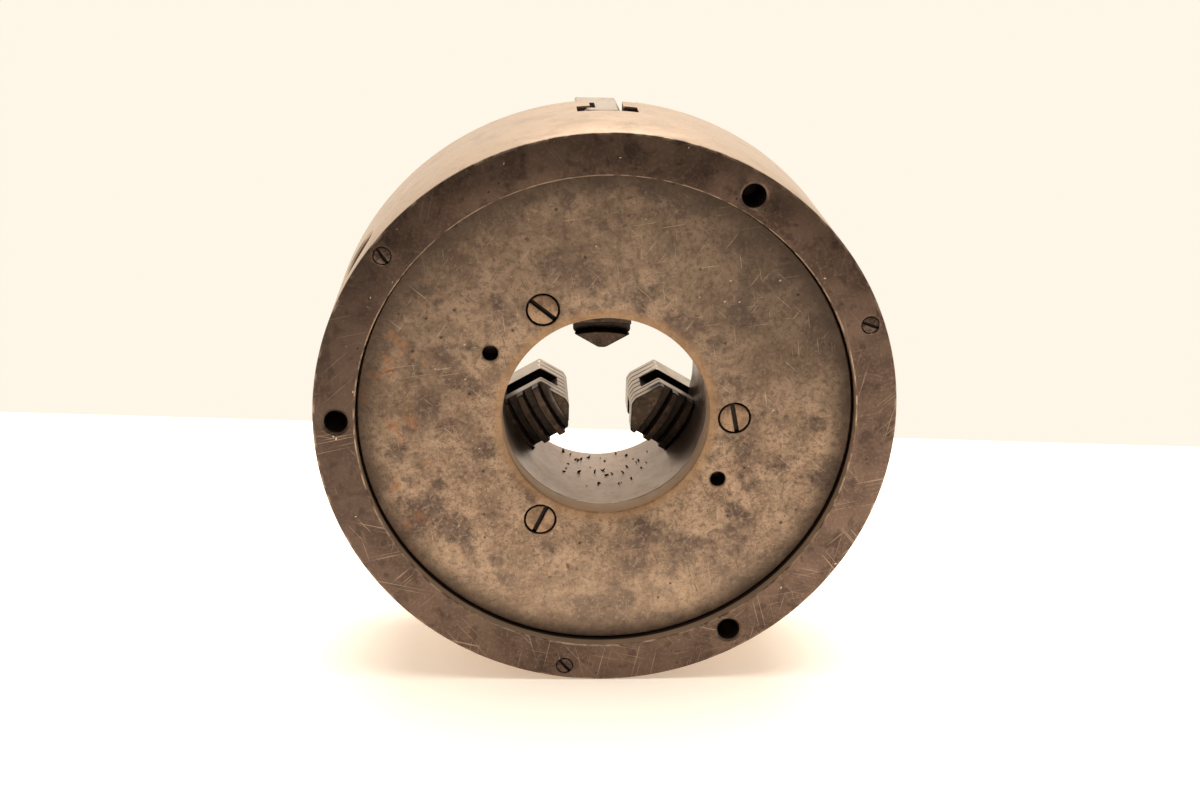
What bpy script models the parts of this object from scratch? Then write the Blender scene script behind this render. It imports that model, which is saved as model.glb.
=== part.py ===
"""Three-jaw self-centring lathe chuck, 250 mm, standing on its rim with the back to -Y.

Everything is placed under one empty whose local Z points out of the back face,
so a depth d behind the back rim is local z = -d, and an angle is the one seen
from the back, counted counter-clockwise from +X.
"""
import math

import bmesh
import bpy
from mathutils import Matrix, Vector

MM = 0.001
TURN = 2.0 * math.pi

# Body
BODY_RADIUS = 125.0 * MM
FRONT_DEPTH = 76.5 * MM
RECESS_RADIUS = 107.3 * MM
SEAT_DEPTH = 16.8 * MM
BORE_RADIUS = 44.75 * MM
HUB_RADIUS = 63.0 * MM
CAVITY_RADIUS = 100.0 * MM
PLATE_DEPTH = 55.3 * MM
BODY_SIDES = 48
BACK_CHAMFER = 1.2 * MM
FRONT_CHAMFER = 1.5 * MM
RECESS_CHAMFER = 0.5 * MM
COVER_CLEARANCE = 0.1 * MM

# Cover plate
COVER_DEPTH = 6.8 * MM
COVER_RADIUS = 107.0 * MM
BOSS_INNER = 63.5 * MM
BOSS_OUTER = 73.5 * MM
BOSS_DEPTH = 40.0 * MM
CHANNEL_HALF = 6.5 * MM
CHANNEL_OVERRUN = 4.0 * MM
COVER_BORE_CHAMFER = 1.2 * MM
COVER_RIM_CHAMFER = 0.6 * MM
GAP = 0.3 * MM

# Scroll
SCROLL_PITCH = 8.0 * MM
SCROLL_BORE = 63.5 * MM
SCROLL_RADIUS = 99.3 * MM
GROOVE_DEPTH = 49.7 * MM
RIDGE_TOP = 54.9 * MM
RIDGE_WIDTH = 3.4 * MM
RIDGE_START = 66.0 * MM
RIDGE_END = 97.2 * MM
RIDGE_STEPS = 60
RIDGE_END_ANGLE = 175.5

# Bevel gears: both cones have their apex on the chuck axis at PINION_DEPTH
PINION_DEPTH = 32.0 * MM
PINION_TEETH = 9
SCROLL_TEETH = 81
FACE_INNER = 77.0 * MM
FACE_OUTER = 98.5 * MM
PRESSURE_ANGLE = math.radians(25.0)
BACKLASH = 0.22 * MM
# Tooth heights as shares of the module
SCROLL_TOOTH_RISE = 0.85
SCROLL_TOOTH_SINK = 1.75
SCROLL_ROOT = 1.25
PINION_TOOTH_RISE = 0.92
PINION_ROOT = 1.12

# Pinions
PINION_ANGLES = (30.0, 150.0, 270.0)
PINION_HOLE = 14.0 * MM
JOURNAL_RADIUS = 13.7 * MM
NECK_RADIUS = 12.3 * MM
SHOULDER = 115.2 * MM
PINION_END = 122.0 * MM
SPIGOT_RADIUS = 6.0 * MM
SPIGOT_END = 52.5 * MM
SPIGOT_HOLE = 6.35 * MM
SPIGOT_HOLE_END = 51.5 * MM
JOURNAL_INNER = 100.4 * MM
GEAR_NECK_RADIUS = 7.6 * MM
PINION_CHAMFER = 0.6 * MM
KEY_SQUARE = 12.0 * MM
KEY_DEPTH = 16.0 * MM

# Jaws
JAW_ANGLES = (90.0, 210.0, 330.0)
JAW_HALF = 13.0 * MM
JAW_WEB_HALF = 4.9 * MM
JAW_TIP = 17.5 * MM
JAW_END = 124.0 * MM
JAW_FRONT = 87.8 * MM
TIP_FLAT_HALF = 1.6 * MM
TOOTH_TIP = 50.0 * MM
TOOTH_ROOT = 55.2 * MM
GROOVE_BACK = 61.2 * MM
GROOVE_FRONT = 73.6 * MM
TOOTH_WIDTH = 3.8 * MM
TOOTH_OUTER_FLANK = 58.0 * MM
TOOTH_INNER_FLANK = 105.0 * MM
SLOT_HALF = 13.3 * MM
RAIL_HALF = 7.4 * MM
SLOT_FLOOR = 49.4 * MM
SHORTEST_TIP = 4.0 * MM
TAIL_BEVEL = 16.0 * MM
TAIL_CORNER = 4.8 * MM
FOOT_BEVEL = 4.4 * MM
LAST_TOOTH_MARGIN = 3.0 * MM
KEY_SLOT = (70.0 * MM, 82.0 * MM)
KEY_SLOT_DEPTH = 3.5 * MM
TAPPED_HOLE = 4.25 * MM
TAPPED_HOLE_PLACES = (54.0 * MM, 98.0 * MM)
TAPPED_HOLE_FLOOR = 70.0 * MM

# Cover screws
SCREW_ANGLES = (120.0, 240.0, 0.0)
SCREW_SLOT_ANGLES = (-38.0, 65.0, -78.0)
SCREW_CIRCLE = 55.8 * MM
SCREW_HEAD_RADIUS = 6.6 * MM
SCREW_HEAD_HEIGHT = 5.0 * MM
SCREW_HEAD_SUNK = 0.2 * MM
SCREW_RADIUS = 4.0 * MM
SCREW_END = 36.8 * MM
SCREW_SLOT_HALF = 0.9 * MM
SCREW_SLOT_DEPTH = 2.2 * MM
SCREW_HOLE = 4.4 * MM
SCREW_HOLE_END = 38.0 * MM
COUNTERBORE_RADIUS = 6.95 * MM
COUNTERBORE_DEPTH = 5.5 * MM

# Dowels and jack holes in the cover
DOWEL_ANGLES = (60.0, 180.0)
DOWEL_RADIUS = 3.0 * MM
DOWEL_ENDS = (10.4 * MM, 27.0 * MM)
DOWEL_HOLE = 3.35 * MM
DOWEL_HOLE_ENDS = (10.0 * MM, 28.0 * MM)
JACK_ANGLES = (150.0, 330.0)
JACK_CIRCLE = 57.7 * MM
JACK_HOLE = 3.4 * MM

# Mounting holes in the back rim
MOUNT_ANGLES = (60.0, 180.0, 300.0)
MOUNT_CIRCLE = 115.2 * MM
MOUNT_HOLE = 5.1 * MM
MOUNT_HOLE_CHAMFER = 0.6 * MM
MOUNT_HOLE_DEPTH = 24.0 * MM
MOUNT_HOLE_POINT = 27.0 * MM

# Pinion pins and the slotted plugs behind them
PIN_ANGLES = (22.2, 142.2, 262.2)
PIN_CIRCLE = 119.0 * MM
PIN_RADIUS = 3.5 * MM
PIN_END = 47.0 * MM
PIN_HOLE = 3.85 * MM
PIN_HOLE_END = 48.0 * MM
PLUG_RADIUS = 3.55 * MM
PLUG_TOP = 0.2 * MM
PLUG_END = 6.0 * MM
PLUG_SLOT_HALF = 0.5 * MM
PLUG_SLOT_DEPTH = 1.5 * MM
PLUG_SLOT_ANGLES = (-20.0, -55.0, -50.0)
EDGE_BREAK = 0.5 * MM

PARTS = bpy.data.collections.new("lathe_chuck")
CUTTERS = bpy.data.collections.new("cutters")


def clear_scene():
    for obj in list(bpy.data.objects):
        bpy.data.objects.remove(obj, do_unlink=True)
    bpy.context.scene.collection.children.link(PARTS)
    bpy.context.scene.collection.children.link(CUTTERS)


def steel(name, color, roughness, metallic=0.9):
    material = bpy.data.materials.new(name)
    material.use_nodes = True
    shader = material.node_tree.nodes["Principled BSDF"]
    shader.inputs["Base Color"].default_value = (*color, 1.0)
    shader.inputs["Roughness"].default_value = roughness
    shader.inputs["Metallic"].default_value = metallic
    material.diffuse_color = (*color, 1.0)
    return material


def polar(radius, degrees, depth=0.0):
    angle = math.radians(degrees)
    return Vector((radius * math.cos(angle), radius * math.sin(angle), -depth))


def spoke(degrees, depth=0.0):
    """Frame whose X runs outwards along a spoke and whose Z is the chuck's back axis."""
    return Matrix.Translation((0.0, 0.0, -depth)) @ Matrix.Rotation(math.radians(degrees), 4, "Z")


def radial_axis(degrees, depth):
    """Frame whose Z runs outwards along a spoke, with Y along the chuck's back axis."""
    outward = Matrix.Rotation(math.radians(90.0), 4, "Z") @ Matrix.Rotation(math.radians(90.0), 4, "X")
    return spoke(degrees, depth) @ outward


def add_object(name, mesh, matrix, collection):
    obj = bpy.data.objects.new(name, mesh)
    collection.objects.link(obj)
    obj.matrix_local = matrix
    return obj


def turned(name, profile, steps, matrix=Matrix(), collection=PARTS):
    """Closed or axis-to-axis profile of (radius, z) points, spun round Z."""
    mesh = bpy.data.meshes.new(name)
    closed = profile[0][0] > 0.0
    count = len(profile)
    edges = [(i, i + 1) for i in range(count - 1)]
    if closed:
        edges.append((count - 1, 0))
    mesh.from_pydata([(radius, 0.0, z) for radius, z in profile], edges, [])
    obj = add_object(name, mesh, matrix, collection)
    screw = obj.modifiers.new("Turn", "SCREW")
    screw.steps = steps
    screw.render_steps = steps
    screw.use_merge_vertices = True
    screw.merge_threshold = 0.00001
    screw.use_smooth_shade = False
    return obj


def at_depths(profile):
    return [(radius, -depth) for radius, depth in profile]


def outline_mesh(name, outlines, z_low, z_high):
    """Flat outlines filled and given a thickness, as one mesh of closed solids."""
    curve = bpy.data.curves.new(name, "CURVE")
    curve.dimensions = "2D"
    curve.fill_mode = "BOTH"
    curve.extrude = (z_high - z_low) / 2.0
    for outline in outlines:
        spline = curve.splines.new("POLY")
        spline.points.add(len(outline) - 1)
        for point, (x, y) in zip(spline.points, outline):
            point.co = (x, y, 0.0, 1.0)
        spline.use_cyclic_u = True
    guide = bpy.data.objects.new(name + "_curve", curve)
    bpy.context.scene.collection.objects.link(guide)
    bpy.context.view_layer.update()
    mesh = bpy.data.meshes.new_from_object(guide.evaluated_get(bpy.context.evaluated_depsgraph_get()))
    bpy.data.objects.remove(guide, do_unlink=True)
    mesh.name = name
    bm = bmesh.new()
    bm.from_mesh(mesh)
    bmesh.ops.remove_doubles(bm, verts=bm.verts, dist=0.000005)
    bmesh.ops.translate(bm, verts=bm.verts, vec=(0.0, 0.0, (z_high + z_low) / 2.0))
    bmesh.ops.recalc_face_normals(bm, faces=bm.faces)
    bm.to_mesh(mesh)
    bm.free()
    return mesh


def box_mesh(name, low, high):
    bm = bmesh.new()
    bmesh.ops.create_cube(bm, size=1.0)
    size = Vector(high) - Vector(low)
    bmesh.ops.scale(bm, verts=bm.verts, vec=size)
    bmesh.ops.translate(bm, verts=bm.verts, vec=(Vector(high) + Vector(low)) / 2.0)
    mesh = bpy.data.meshes.new(name)
    bm.to_mesh(mesh)
    bm.free()
    return mesh


def cutter(mesh, matrix=Matrix()):
    obj = add_object("cut_" + mesh.name, mesh, matrix, CUTTERS)
    return hide_cutter(obj)


def hide_cutter(obj):
    obj.hide_render = True
    obj.display_type = "WIRE"
    obj.parent = FRAME
    return obj


def drill(name, radius, top, bottom, matrix, steps=20):
    """Round cutter from z = top down to z = bottom."""
    profile = [(0.0, top), (radius, top), (radius, bottom), (0.0, bottom)]
    return hide_cutter(turned("cut_" + name, profile, steps, matrix, CUTTERS))


def combine(obj, operation, other):
    modifier = obj.modifiers.new(other.name, "BOOLEAN")
    modifier.operation = operation
    modifier.solver = "EXACT"
    modifier.object = other


def finish(obj, material):
    obj.parent = FRAME
    obj.data.materials.clear()
    obj.data.materials.append(material)
    obj.data.shade_smooth()
    obj.data.set_sharp_from_angle(angle=math.radians(30.0))


def half_step(steps):
    """Turns a faceted ring so that a flat, not a corner, faces straight down."""
    return Matrix.Rotation(TURN / steps / 2.0, 4, "Z")


# Chuck body ---------------------------------------------------------------

def jaw_slot_outline():
    half = [
        (SLOT_HALF, SLOT_FLOOR),
        (SLOT_HALF, GROOVE_BACK + GAP),
        (RAIL_HALF, GROOVE_BACK + GAP),
        (RAIL_HALF, GROOVE_FRONT - GAP),
        (SLOT_HALF, GROOVE_FRONT - GAP),
        (SLOT_HALF, FRONT_DEPTH + 2.0 * MM),
    ]
    return half + [(-x, depth) for x, depth in reversed(half)]


def cut_jaw_slots(body):
    slot = outline_mesh("jaw_slot", [jaw_slot_outline()], 30.0 * MM, 140.0 * MM)
    # The outline's x is across the slot and its y is the depth.
    turn = Matrix(((0, 0, 1, 0), (1, 0, 0, 0), (0, -1, 0, 0), (0, 0, 0, 1)))
    slot.transform(turn)
    slot.flip_normals()
    for angle in JAW_ANGLES:
        combine(body, "DIFFERENCE", cutter(slot, spoke(angle)))


def cut_pinion_seats(body):
    for angle in PINION_ANGLES:
        matrix = radial_axis(angle, PINION_DEPTH)
        combine(body, "DIFFERENCE", drill("pinion_hole", PINION_HOLE, 140 * MM, 90 * MM, matrix, 32))
        hole = drill("spigot_hole", SPIGOT_HOLE, HUB_RADIUS + CHANNEL_OVERRUN, SPIGOT_HOLE_END, matrix, 24)
        combine(body, "DIFFERENCE", hole)


def cut_body_holes(body):
    for angle in MOUNT_ANGLES:
        matrix = Matrix.Translation(polar(MOUNT_CIRCLE, angle))
        profile = at_depths([
            (0.0, -MM),
            (MOUNT_HOLE + MOUNT_HOLE_CHAMFER, -MM),
            (MOUNT_HOLE + MOUNT_HOLE_CHAMFER, 0.0),
            (MOUNT_HOLE, MOUNT_HOLE_CHAMFER),
            (MOUNT_HOLE, MOUNT_HOLE_DEPTH),
            (0.0, MOUNT_HOLE_POINT),
        ])
        hole = turned("cut_mount_hole", profile, 20, matrix, CUTTERS)
        combine(body, "DIFFERENCE", hide_cutter(hole))
    for angle in PIN_ANGLES:
        matrix = Matrix.Translation(polar(PIN_CIRCLE, angle))
        combine(body, "DIFFERENCE", drill("pin_hole", PIN_HOLE, MM, -PIN_HOLE_END, matrix, 16))
    for angle in SCREW_ANGLES:
        matrix = Matrix.Translation(polar(SCREW_CIRCLE, angle))
        hole = drill("screw_hole", SCREW_HOLE, -COVER_DEPTH, -SCREW_HOLE_END, matrix, 16)
        combine(body, "DIFFERENCE", hole)
    for angle in DOWEL_ANGLES:
        matrix = Matrix.Translation(polar(SCREW_CIRCLE, angle))
        top, end = DOWEL_HOLE_ENDS
        combine(body, "DIFFERENCE", drill("dowel_hole", DOWEL_HOLE, -top, -end, matrix, 16))


def make_body():
    outer = BODY_RADIUS / math.cos(TURN / BODY_SIDES / 2.0)
    recess = RECESS_RADIUS + COVER_CLEARANCE
    profile = at_depths([
        (outer - BACK_CHAMFER, 0.0),
        (outer, BACK_CHAMFER),
        (outer, FRONT_DEPTH - FRONT_CHAMFER),
        (outer - FRONT_CHAMFER, FRONT_DEPTH),
        (BORE_RADIUS + FRONT_CHAMFER, FRONT_DEPTH),
        (BORE_RADIUS, FRONT_DEPTH - FRONT_CHAMFER),
        (BORE_RADIUS, SEAT_DEPTH),
        (HUB_RADIUS, SEAT_DEPTH),
        (HUB_RADIUS, PLATE_DEPTH),
        (CAVITY_RADIUS, PLATE_DEPTH),
        (CAVITY_RADIUS, SEAT_DEPTH),
        (recess, SEAT_DEPTH),
        (recess, RECESS_CHAMFER),
        (recess + RECESS_CHAMFER, 0.0),
    ])
    body = turned("chuck_body", profile, BODY_SIDES, half_step(BODY_SIDES))
    cut_jaw_slots(body)
    cut_pinion_seats(body)
    cut_body_holes(body)
    finish(body, steel("body_steel", (0.13, 0.10, 0.08), 0.42))


# Cover plate --------------------------------------------------------------

def make_cover():
    back = COVER_DEPTH
    inner = SEAT_DEPTH - GAP
    profile = at_depths([
        (COVER_RADIUS - COVER_RIM_CHAMFER, back),
        (COVER_RADIUS, back + COVER_RIM_CHAMFER),
        (COVER_RADIUS, inner),
        (BOSS_OUTER, inner),
        (BOSS_OUTER, BOSS_DEPTH),
        (BOSS_INNER, BOSS_DEPTH),
        (BOSS_INNER, inner),
        (BORE_RADIUS, inner),
        (BORE_RADIUS, back + COVER_BORE_CHAMFER),
        (BORE_RADIUS + COVER_BORE_CHAMFER, back),
    ])
    cover = turned("cover_plate", profile, BODY_SIDES, half_step(BODY_SIDES))
    channel = box_mesh(
        "spigot_channel",
        (BOSS_INNER - CHANNEL_OVERRUN, -CHANNEL_HALF, -BOSS_DEPTH - CHANNEL_OVERRUN),
        (BOSS_OUTER + CHANNEL_OVERRUN, CHANNEL_HALF, -PINION_DEPTH + CHANNEL_HALF),
    )
    for angle in PINION_ANGLES:
        combine(cover, "DIFFERENCE", cutter(channel, spoke(angle)))
    for angle in SCREW_ANGLES:
        matrix = Matrix.Translation(polar(SCREW_CIRCLE, angle))
        profile = at_depths([
            (0.0, back - MM),
            (COUNTERBORE_RADIUS, back - MM),
            (COUNTERBORE_RADIUS, back + COUNTERBORE_DEPTH),
            (SCREW_HOLE, back + COUNTERBORE_DEPTH),
            (SCREW_HOLE, SEAT_DEPTH + MM),
            (0.0, SEAT_DEPTH + MM),
        ])
        counterbore = turned("cut_counterbore", profile, 24, matrix, CUTTERS)
        combine(cover, "DIFFERENCE", hide_cutter(counterbore))
    for angle in JACK_ANGLES:
        matrix = Matrix.Translation(polar(JACK_CIRCLE, angle))
        combine(cover, "DIFFERENCE", drill("jack_hole", JACK_HOLE, 0.0, -SEAT_DEPTH - MM, matrix, 16))
    for angle in DOWEL_ANGLES:
        matrix = Matrix.Translation(polar(SCREW_CIRCLE, angle))
        seat = drill("dowel_seat", DOWEL_HOLE, -DOWEL_HOLE_ENDS[0], -SEAT_DEPTH - MM, matrix, 16)
        combine(cover, "DIFFERENCE", seat)
    finish(cover, steel("cover_steel", (0.24, 0.20, 0.165), 0.45))


# Scroll plate -------------------------------------------------------------

def spiral_radius(degrees):
    """Radius of the ridge centre line; it shrinks counter-clockwise seen from the back."""
    return RIDGE_END - SCROLL_PITCH * (degrees - RIDGE_END_ANGLE) / 360.0


def ridge_outline():
    turns = (RIDGE_END - RIDGE_START) / SCROLL_PITCH
    count = int(turns * RIDGE_STEPS)
    angles = [RIDGE_END_ANGLE + 360.0 * turns * i / count for i in range(count + 1)]
    outer = [polar(spiral_radius(a) + RIDGE_WIDTH / 2.0, a) for a in angles]
    inner = [polar(spiral_radius(a) - RIDGE_WIDTH / 2.0, a) for a in reversed(angles)]
    return [(p.x, p.y) for p in outer + inner]


def pitch_ratio():
    """Pinion pitch radius over its distance from the chuck axis."""
    return PINION_TEETH / SCROLL_TEETH


def scroll_tooth_mesh():
    """One straight-sided bevel tooth, tapering towards the apex, along +X."""
    module = 2.0 * pitch_ratio() / PINION_TEETH
    rise = SCROLL_TOOTH_RISE * module
    sink = SCROLL_TOOTH_SINK * module
    half_pitch = math.pi * module / 4.0 - BACKLASH / 2.0 / FACE_OUTER
    tip = half_pitch - rise * math.tan(PRESSURE_ANGLE)
    root = half_pitch + sink * math.tan(PRESSURE_ANGLE)
    section = [(tip, pitch_ratio() - rise), (-tip, pitch_ratio() - rise),
               (-root, pitch_ratio() + sink), (root, pitch_ratio() + sink)]
    bm = bmesh.new()
    ends = []
    for radius in (FACE_INNER, FACE_OUTER - MM):
        ends.append([bm.verts.new((radius, y * radius, -PINION_DEPTH - d * radius)) for y, d in section])
    bm.faces.new(ends[0])
    bm.faces.new(ends[1])
    bmesh.ops.bridge_loops(bm, edges=bm.edges)
    bmesh.ops.recalc_face_normals(bm, faces=bm.faces)
    mesh = bpy.data.meshes.new("scroll_tooth")
    bm.to_mesh(mesh)
    bm.free()
    return mesh


def ring_of(name, mesh, count):
    """One mesh with count copies of a mesh, spun round Z."""
    bm = bmesh.new()
    for i in range(count):
        start = len(bm.verts)
        bm.from_mesh(mesh)
        bm.verts.ensure_lookup_table()
        copy = bm.verts[start:]
        bmesh.ops.rotate(bm, verts=copy, cent=(0, 0, 0), matrix=Matrix.Rotation(TURN * i / count, 3, "Z"))
    ring = bpy.data.meshes.new(name)
    bm.to_mesh(ring)
    bm.free()
    return ring


def root_depth(radius):
    module = 2.0 * pitch_ratio() / PINION_TEETH
    return PINION_DEPTH + radius * (pitch_ratio() + SCROLL_ROOT * module)


def make_scroll():
    land = BOSS_DEPTH + GAP
    teeth_start = FACE_INNER - 1.2 * MM
    profile = at_depths([
        (SCROLL_RADIUS, root_depth(SCROLL_RADIUS)),
        (SCROLL_RADIUS, GROOVE_DEPTH),
        (SCROLL_BORE, GROOVE_DEPTH),
        (SCROLL_BORE, land),
        (teeth_start - MM, land),
        (teeth_start, root_depth(teeth_start)),
    ])
    scroll = turned("scroll_plate", profile, BODY_SIDES)
    ridge = outline_mesh("ridge", [ridge_outline()], -RIDGE_TOP, -GROOVE_DEPTH + MM)
    combine(scroll, "UNION", cutter(ridge))
    teeth = ring_of("scroll_teeth", scroll_tooth_mesh(), SCROLL_TEETH)
    combine(scroll, "UNION", cutter(teeth, spoke(PINION_ANGLES[0])))
    finish(scroll, steel("scroll_steel", (0.30, 0.28, 0.26), 0.35))


# Pinions ------------------------------------------------------------------

def involute_flank(base, start, end, steps):
    """Polar points (radius, angle) of an involute from radius start to end."""
    points = []
    for i in range(steps + 1):
        radius = start + (end - start) * i / steps
        roll = math.sqrt(max((radius / base) ** 2 - 1.0, 0.0))
        points.append((radius, roll - math.atan(roll)))
    return points


def pinion_gear_outline():
    """Gear outline at one metre from the apex, so it scales with the distance."""
    pitch = pitch_ratio()
    module = 2.0 * pitch / PINION_TEETH
    base = pitch * math.cos(PRESSURE_ANGLE)
    tip = pitch + PINION_TOOTH_RISE * module
    root = pitch - PINION_ROOT * module
    at_pitch = math.tan(PRESSURE_ANGLE) - PRESSURE_ANGLE
    half = TURN / PINION_TEETH / 4.0 - BACKLASH / 2.0 / FACE_OUTER / pitch
    flank = [(root, 0.0)] + involute_flank(base, base, tip, 3)
    outline = []
    for tooth in range(PINION_TEETH):
        centre = TURN * (tooth + 0.5) / PINION_TEETH - math.pi / 2.0
        rising = [(r, centre - half - at_pitch + a) for r, a in flank]
        falling = [(r, centre + half + at_pitch - a) for r, a in reversed(flank)]
        outline += [(r * math.cos(a), r * math.sin(a)) for r, a in rising + falling]
    return outline


def make_pinion_gear():
    """Gear prism along Z, its small end shrunk towards the apex."""
    outline = [(x * FACE_OUTER, y * FACE_OUTER) for x, y in pinion_gear_outline()]
    mesh = outline_mesh("pinion_gear", [outline], FACE_INNER, FACE_OUTER)
    middle = (FACE_INNER + FACE_OUTER) / 2.0
    for vertex in mesh.vertices:
        if vertex.co.z < middle:
            vertex.co.x *= FACE_INNER / FACE_OUTER
            vertex.co.y *= FACE_INNER / FACE_OUTER
    return mesh


def make_pinions():
    gear = make_pinion_gear()
    socket = box_mesh(
        "key_socket",
        (-KEY_SQUARE / 2.0, -KEY_SQUARE / 2.0, PINION_END - KEY_DEPTH),
        (KEY_SQUARE / 2.0, KEY_SQUARE / 2.0, PINION_END + 2.0 * MM),
    )
    profile = [
        (0.0, PINION_END),
        (NECK_RADIUS - PINION_CHAMFER, PINION_END),
        (NECK_RADIUS, PINION_END - PINION_CHAMFER),
        (NECK_RADIUS, SHOULDER),
        (JOURNAL_RADIUS, SHOULDER),
        (JOURNAL_RADIUS, JOURNAL_INNER),
        (GEAR_NECK_RADIUS, JOURNAL_INNER),
        (GEAR_NECK_RADIUS, FACE_OUTER - MM),
        (SPIGOT_RADIUS, FACE_INNER + MM),
        (SPIGOT_RADIUS, SPIGOT_END),
        (0.0, SPIGOT_END),
    ]
    for number, angle in enumerate(PINION_ANGLES, start=1):
        matrix = radial_axis(angle, PINION_DEPTH)
        pinion = turned("pinion_%d" % number, profile, 24, matrix)
        combine(pinion, "UNION", cutter(gear, matrix))
        combine(pinion, "DIFFERENCE", cutter(socket, matrix))
        finish(pinion, steel("pinion_steel_%d" % number, (0.22, 0.20, 0.18), 0.38))


def broken_pin(radius, top, end, edge):
    """Profile of a plain pin between two depths, with its ends broken."""
    return at_depths([(0.0, top), (radius - edge, top), (radius, top + edge),
                      (radius, end - edge), (radius - edge, end), (0.0, end)])


def make_pinion_pins():
    slot = box_mesh(
        "plug_slot",
        (-PLUG_RADIUS - MM, -PLUG_SLOT_HALF, -PLUG_SLOT_DEPTH),
        (PLUG_RADIUS + MM, PLUG_SLOT_HALF, MM),
    )
    for number, angle in enumerate(PIN_ANGLES, start=1):
        matrix = Matrix.Translation(polar(PIN_CIRCLE, angle))
        profile = broken_pin(PIN_RADIUS, PLUG_END + GAP, PIN_END, EDGE_BREAK)
        pin = turned("pinion_pin_%d" % number, profile, 16, matrix)
        finish(pin, steel("pin_steel_%d" % number, (0.34, 0.33, 0.31), 0.30))
        profile = broken_pin(PLUG_RADIUS, PLUG_TOP, PLUG_END, GAP)
        plug = turned("pin_plug_screw_%d" % number, profile, 20, matrix)
        turn = Matrix.Rotation(math.radians(PLUG_SLOT_ANGLES[number - 1]), 4, "Z")
        combine(plug, "DIFFERENCE", cutter(slot, matrix @ turn))
        finish(plug, steel("plug_steel_%d" % number, (0.12, 0.10, 0.09), 0.45))


# Cover screws and dowels --------------------------------------------------

def make_cover_screws():
    top = COVER_DEPTH + SCREW_HEAD_SUNK
    under_head = top + SCREW_HEAD_HEIGHT
    profile = at_depths([
        (0.0, top),
        (SCREW_HEAD_RADIUS - EDGE_BREAK, top),
        (SCREW_HEAD_RADIUS, top + EDGE_BREAK),
        (SCREW_HEAD_RADIUS, under_head),
        (SCREW_RADIUS, under_head),
        (SCREW_RADIUS, SCREW_END - EDGE_BREAK),
        (SCREW_RADIUS - EDGE_BREAK, SCREW_END),
        (0.0, SCREW_END),
    ])
    slot = box_mesh(
        "screw_slot",
        (-SCREW_HEAD_RADIUS - MM, -SCREW_SLOT_HALF, -top - SCREW_SLOT_DEPTH),
        (SCREW_HEAD_RADIUS + MM, SCREW_SLOT_HALF, -top + MM),
    )
    for number, angle in enumerate(SCREW_ANGLES, start=1):
        matrix = Matrix.Translation(polar(SCREW_CIRCLE, angle))
        screw = turned("cover_screw_%d" % number, profile, 20, matrix)
        turn = Matrix.Rotation(math.radians(SCREW_SLOT_ANGLES[number - 1]), 4, "Z")
        combine(screw, "DIFFERENCE", cutter(slot, matrix @ turn))
        finish(screw, steel("screw_steel_%d" % number, (0.22, 0.18, 0.14), 0.40))


def make_cover_dowels():
    top, end = DOWEL_ENDS
    for number, angle in enumerate(DOWEL_ANGLES, start=1):
        matrix = Matrix.Translation(polar(SCREW_CIRCLE, angle))
        dowel = turned("cover_dowel_%d" % number, broken_pin(DOWEL_RADIUS, top, end, EDGE_BREAK), 16, matrix)
        finish(dowel, steel("dowel_steel_%d" % number, (0.40, 0.39, 0.37), 0.28))


# Jaws ---------------------------------------------------------------------

def jaw_plan():
    """Plan of a jaw, x outwards along its spoke and y across it."""
    shoulder = JAW_TIP + (JAW_HALF - TIP_FLAT_HALF) / math.tan(math.radians(60.0))
    return [
        (JAW_TIP, TIP_FLAT_HALF),
        (JAW_TIP, -TIP_FLAT_HALF),
        (shoulder, -JAW_HALF),
        (JAW_END - TAIL_BEVEL, -JAW_HALF),
        (JAW_END, -TAIL_CORNER),
        (JAW_END, JAW_HALF),
        (shoulder, JAW_HALF),
    ]


def flank_arc(crest, radius, steps=4):
    """Points across the jaw on an arc that crosses the centre line at x = crest."""
    reach = JAW_HALF + 2.0 * MM
    points = []
    for i in range(steps + 1):
        y = -reach + 2.0 * reach * i / steps
        points.append((crest - radius + math.sqrt(radius * radius - y * y), y))
    return points


def tooth_gap_outlines(first_tooth):
    """The gaps behind each tooth, as flat outlines; the first tooth runs on into the tip."""
    end = JAW_END + SCROLL_PITCH
    reach = JAW_HALF + 2.0 * MM
    outlines = []
    near_side = flank_arc(first_tooth + TOOTH_WIDTH / 2.0, TOOTH_OUTER_FLANK)
    centre = first_tooth + SCROLL_PITCH
    while centre + TOOTH_WIDTH / 2.0 < JAW_END - LAST_TOOTH_MARGIN:
        far_side = flank_arc(centre - TOOTH_WIDTH / 2.0, TOOTH_INNER_FLANK)
        outlines.append(far_side + list(reversed(near_side)))
        near_side = flank_arc(centre + TOOTH_WIDTH / 2.0, TOOTH_OUTER_FLANK)
        centre += SCROLL_PITCH
    outlines.append([(end, -reach), (end, reach)] + list(reversed(near_side)))
    return outlines


def first_tooth_radius(degrees):
    """Centre of the innermost scroll groove that leaves room for the jaw's solid tip."""
    groove = spiral_radius(degrees) - SCROLL_PITCH / 2.0
    while groove - SCROLL_PITCH + TOOTH_WIDTH / 2.0 > JAW_TIP + SHORTEST_TIP:
        groove -= SCROLL_PITCH
    return groove


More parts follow.
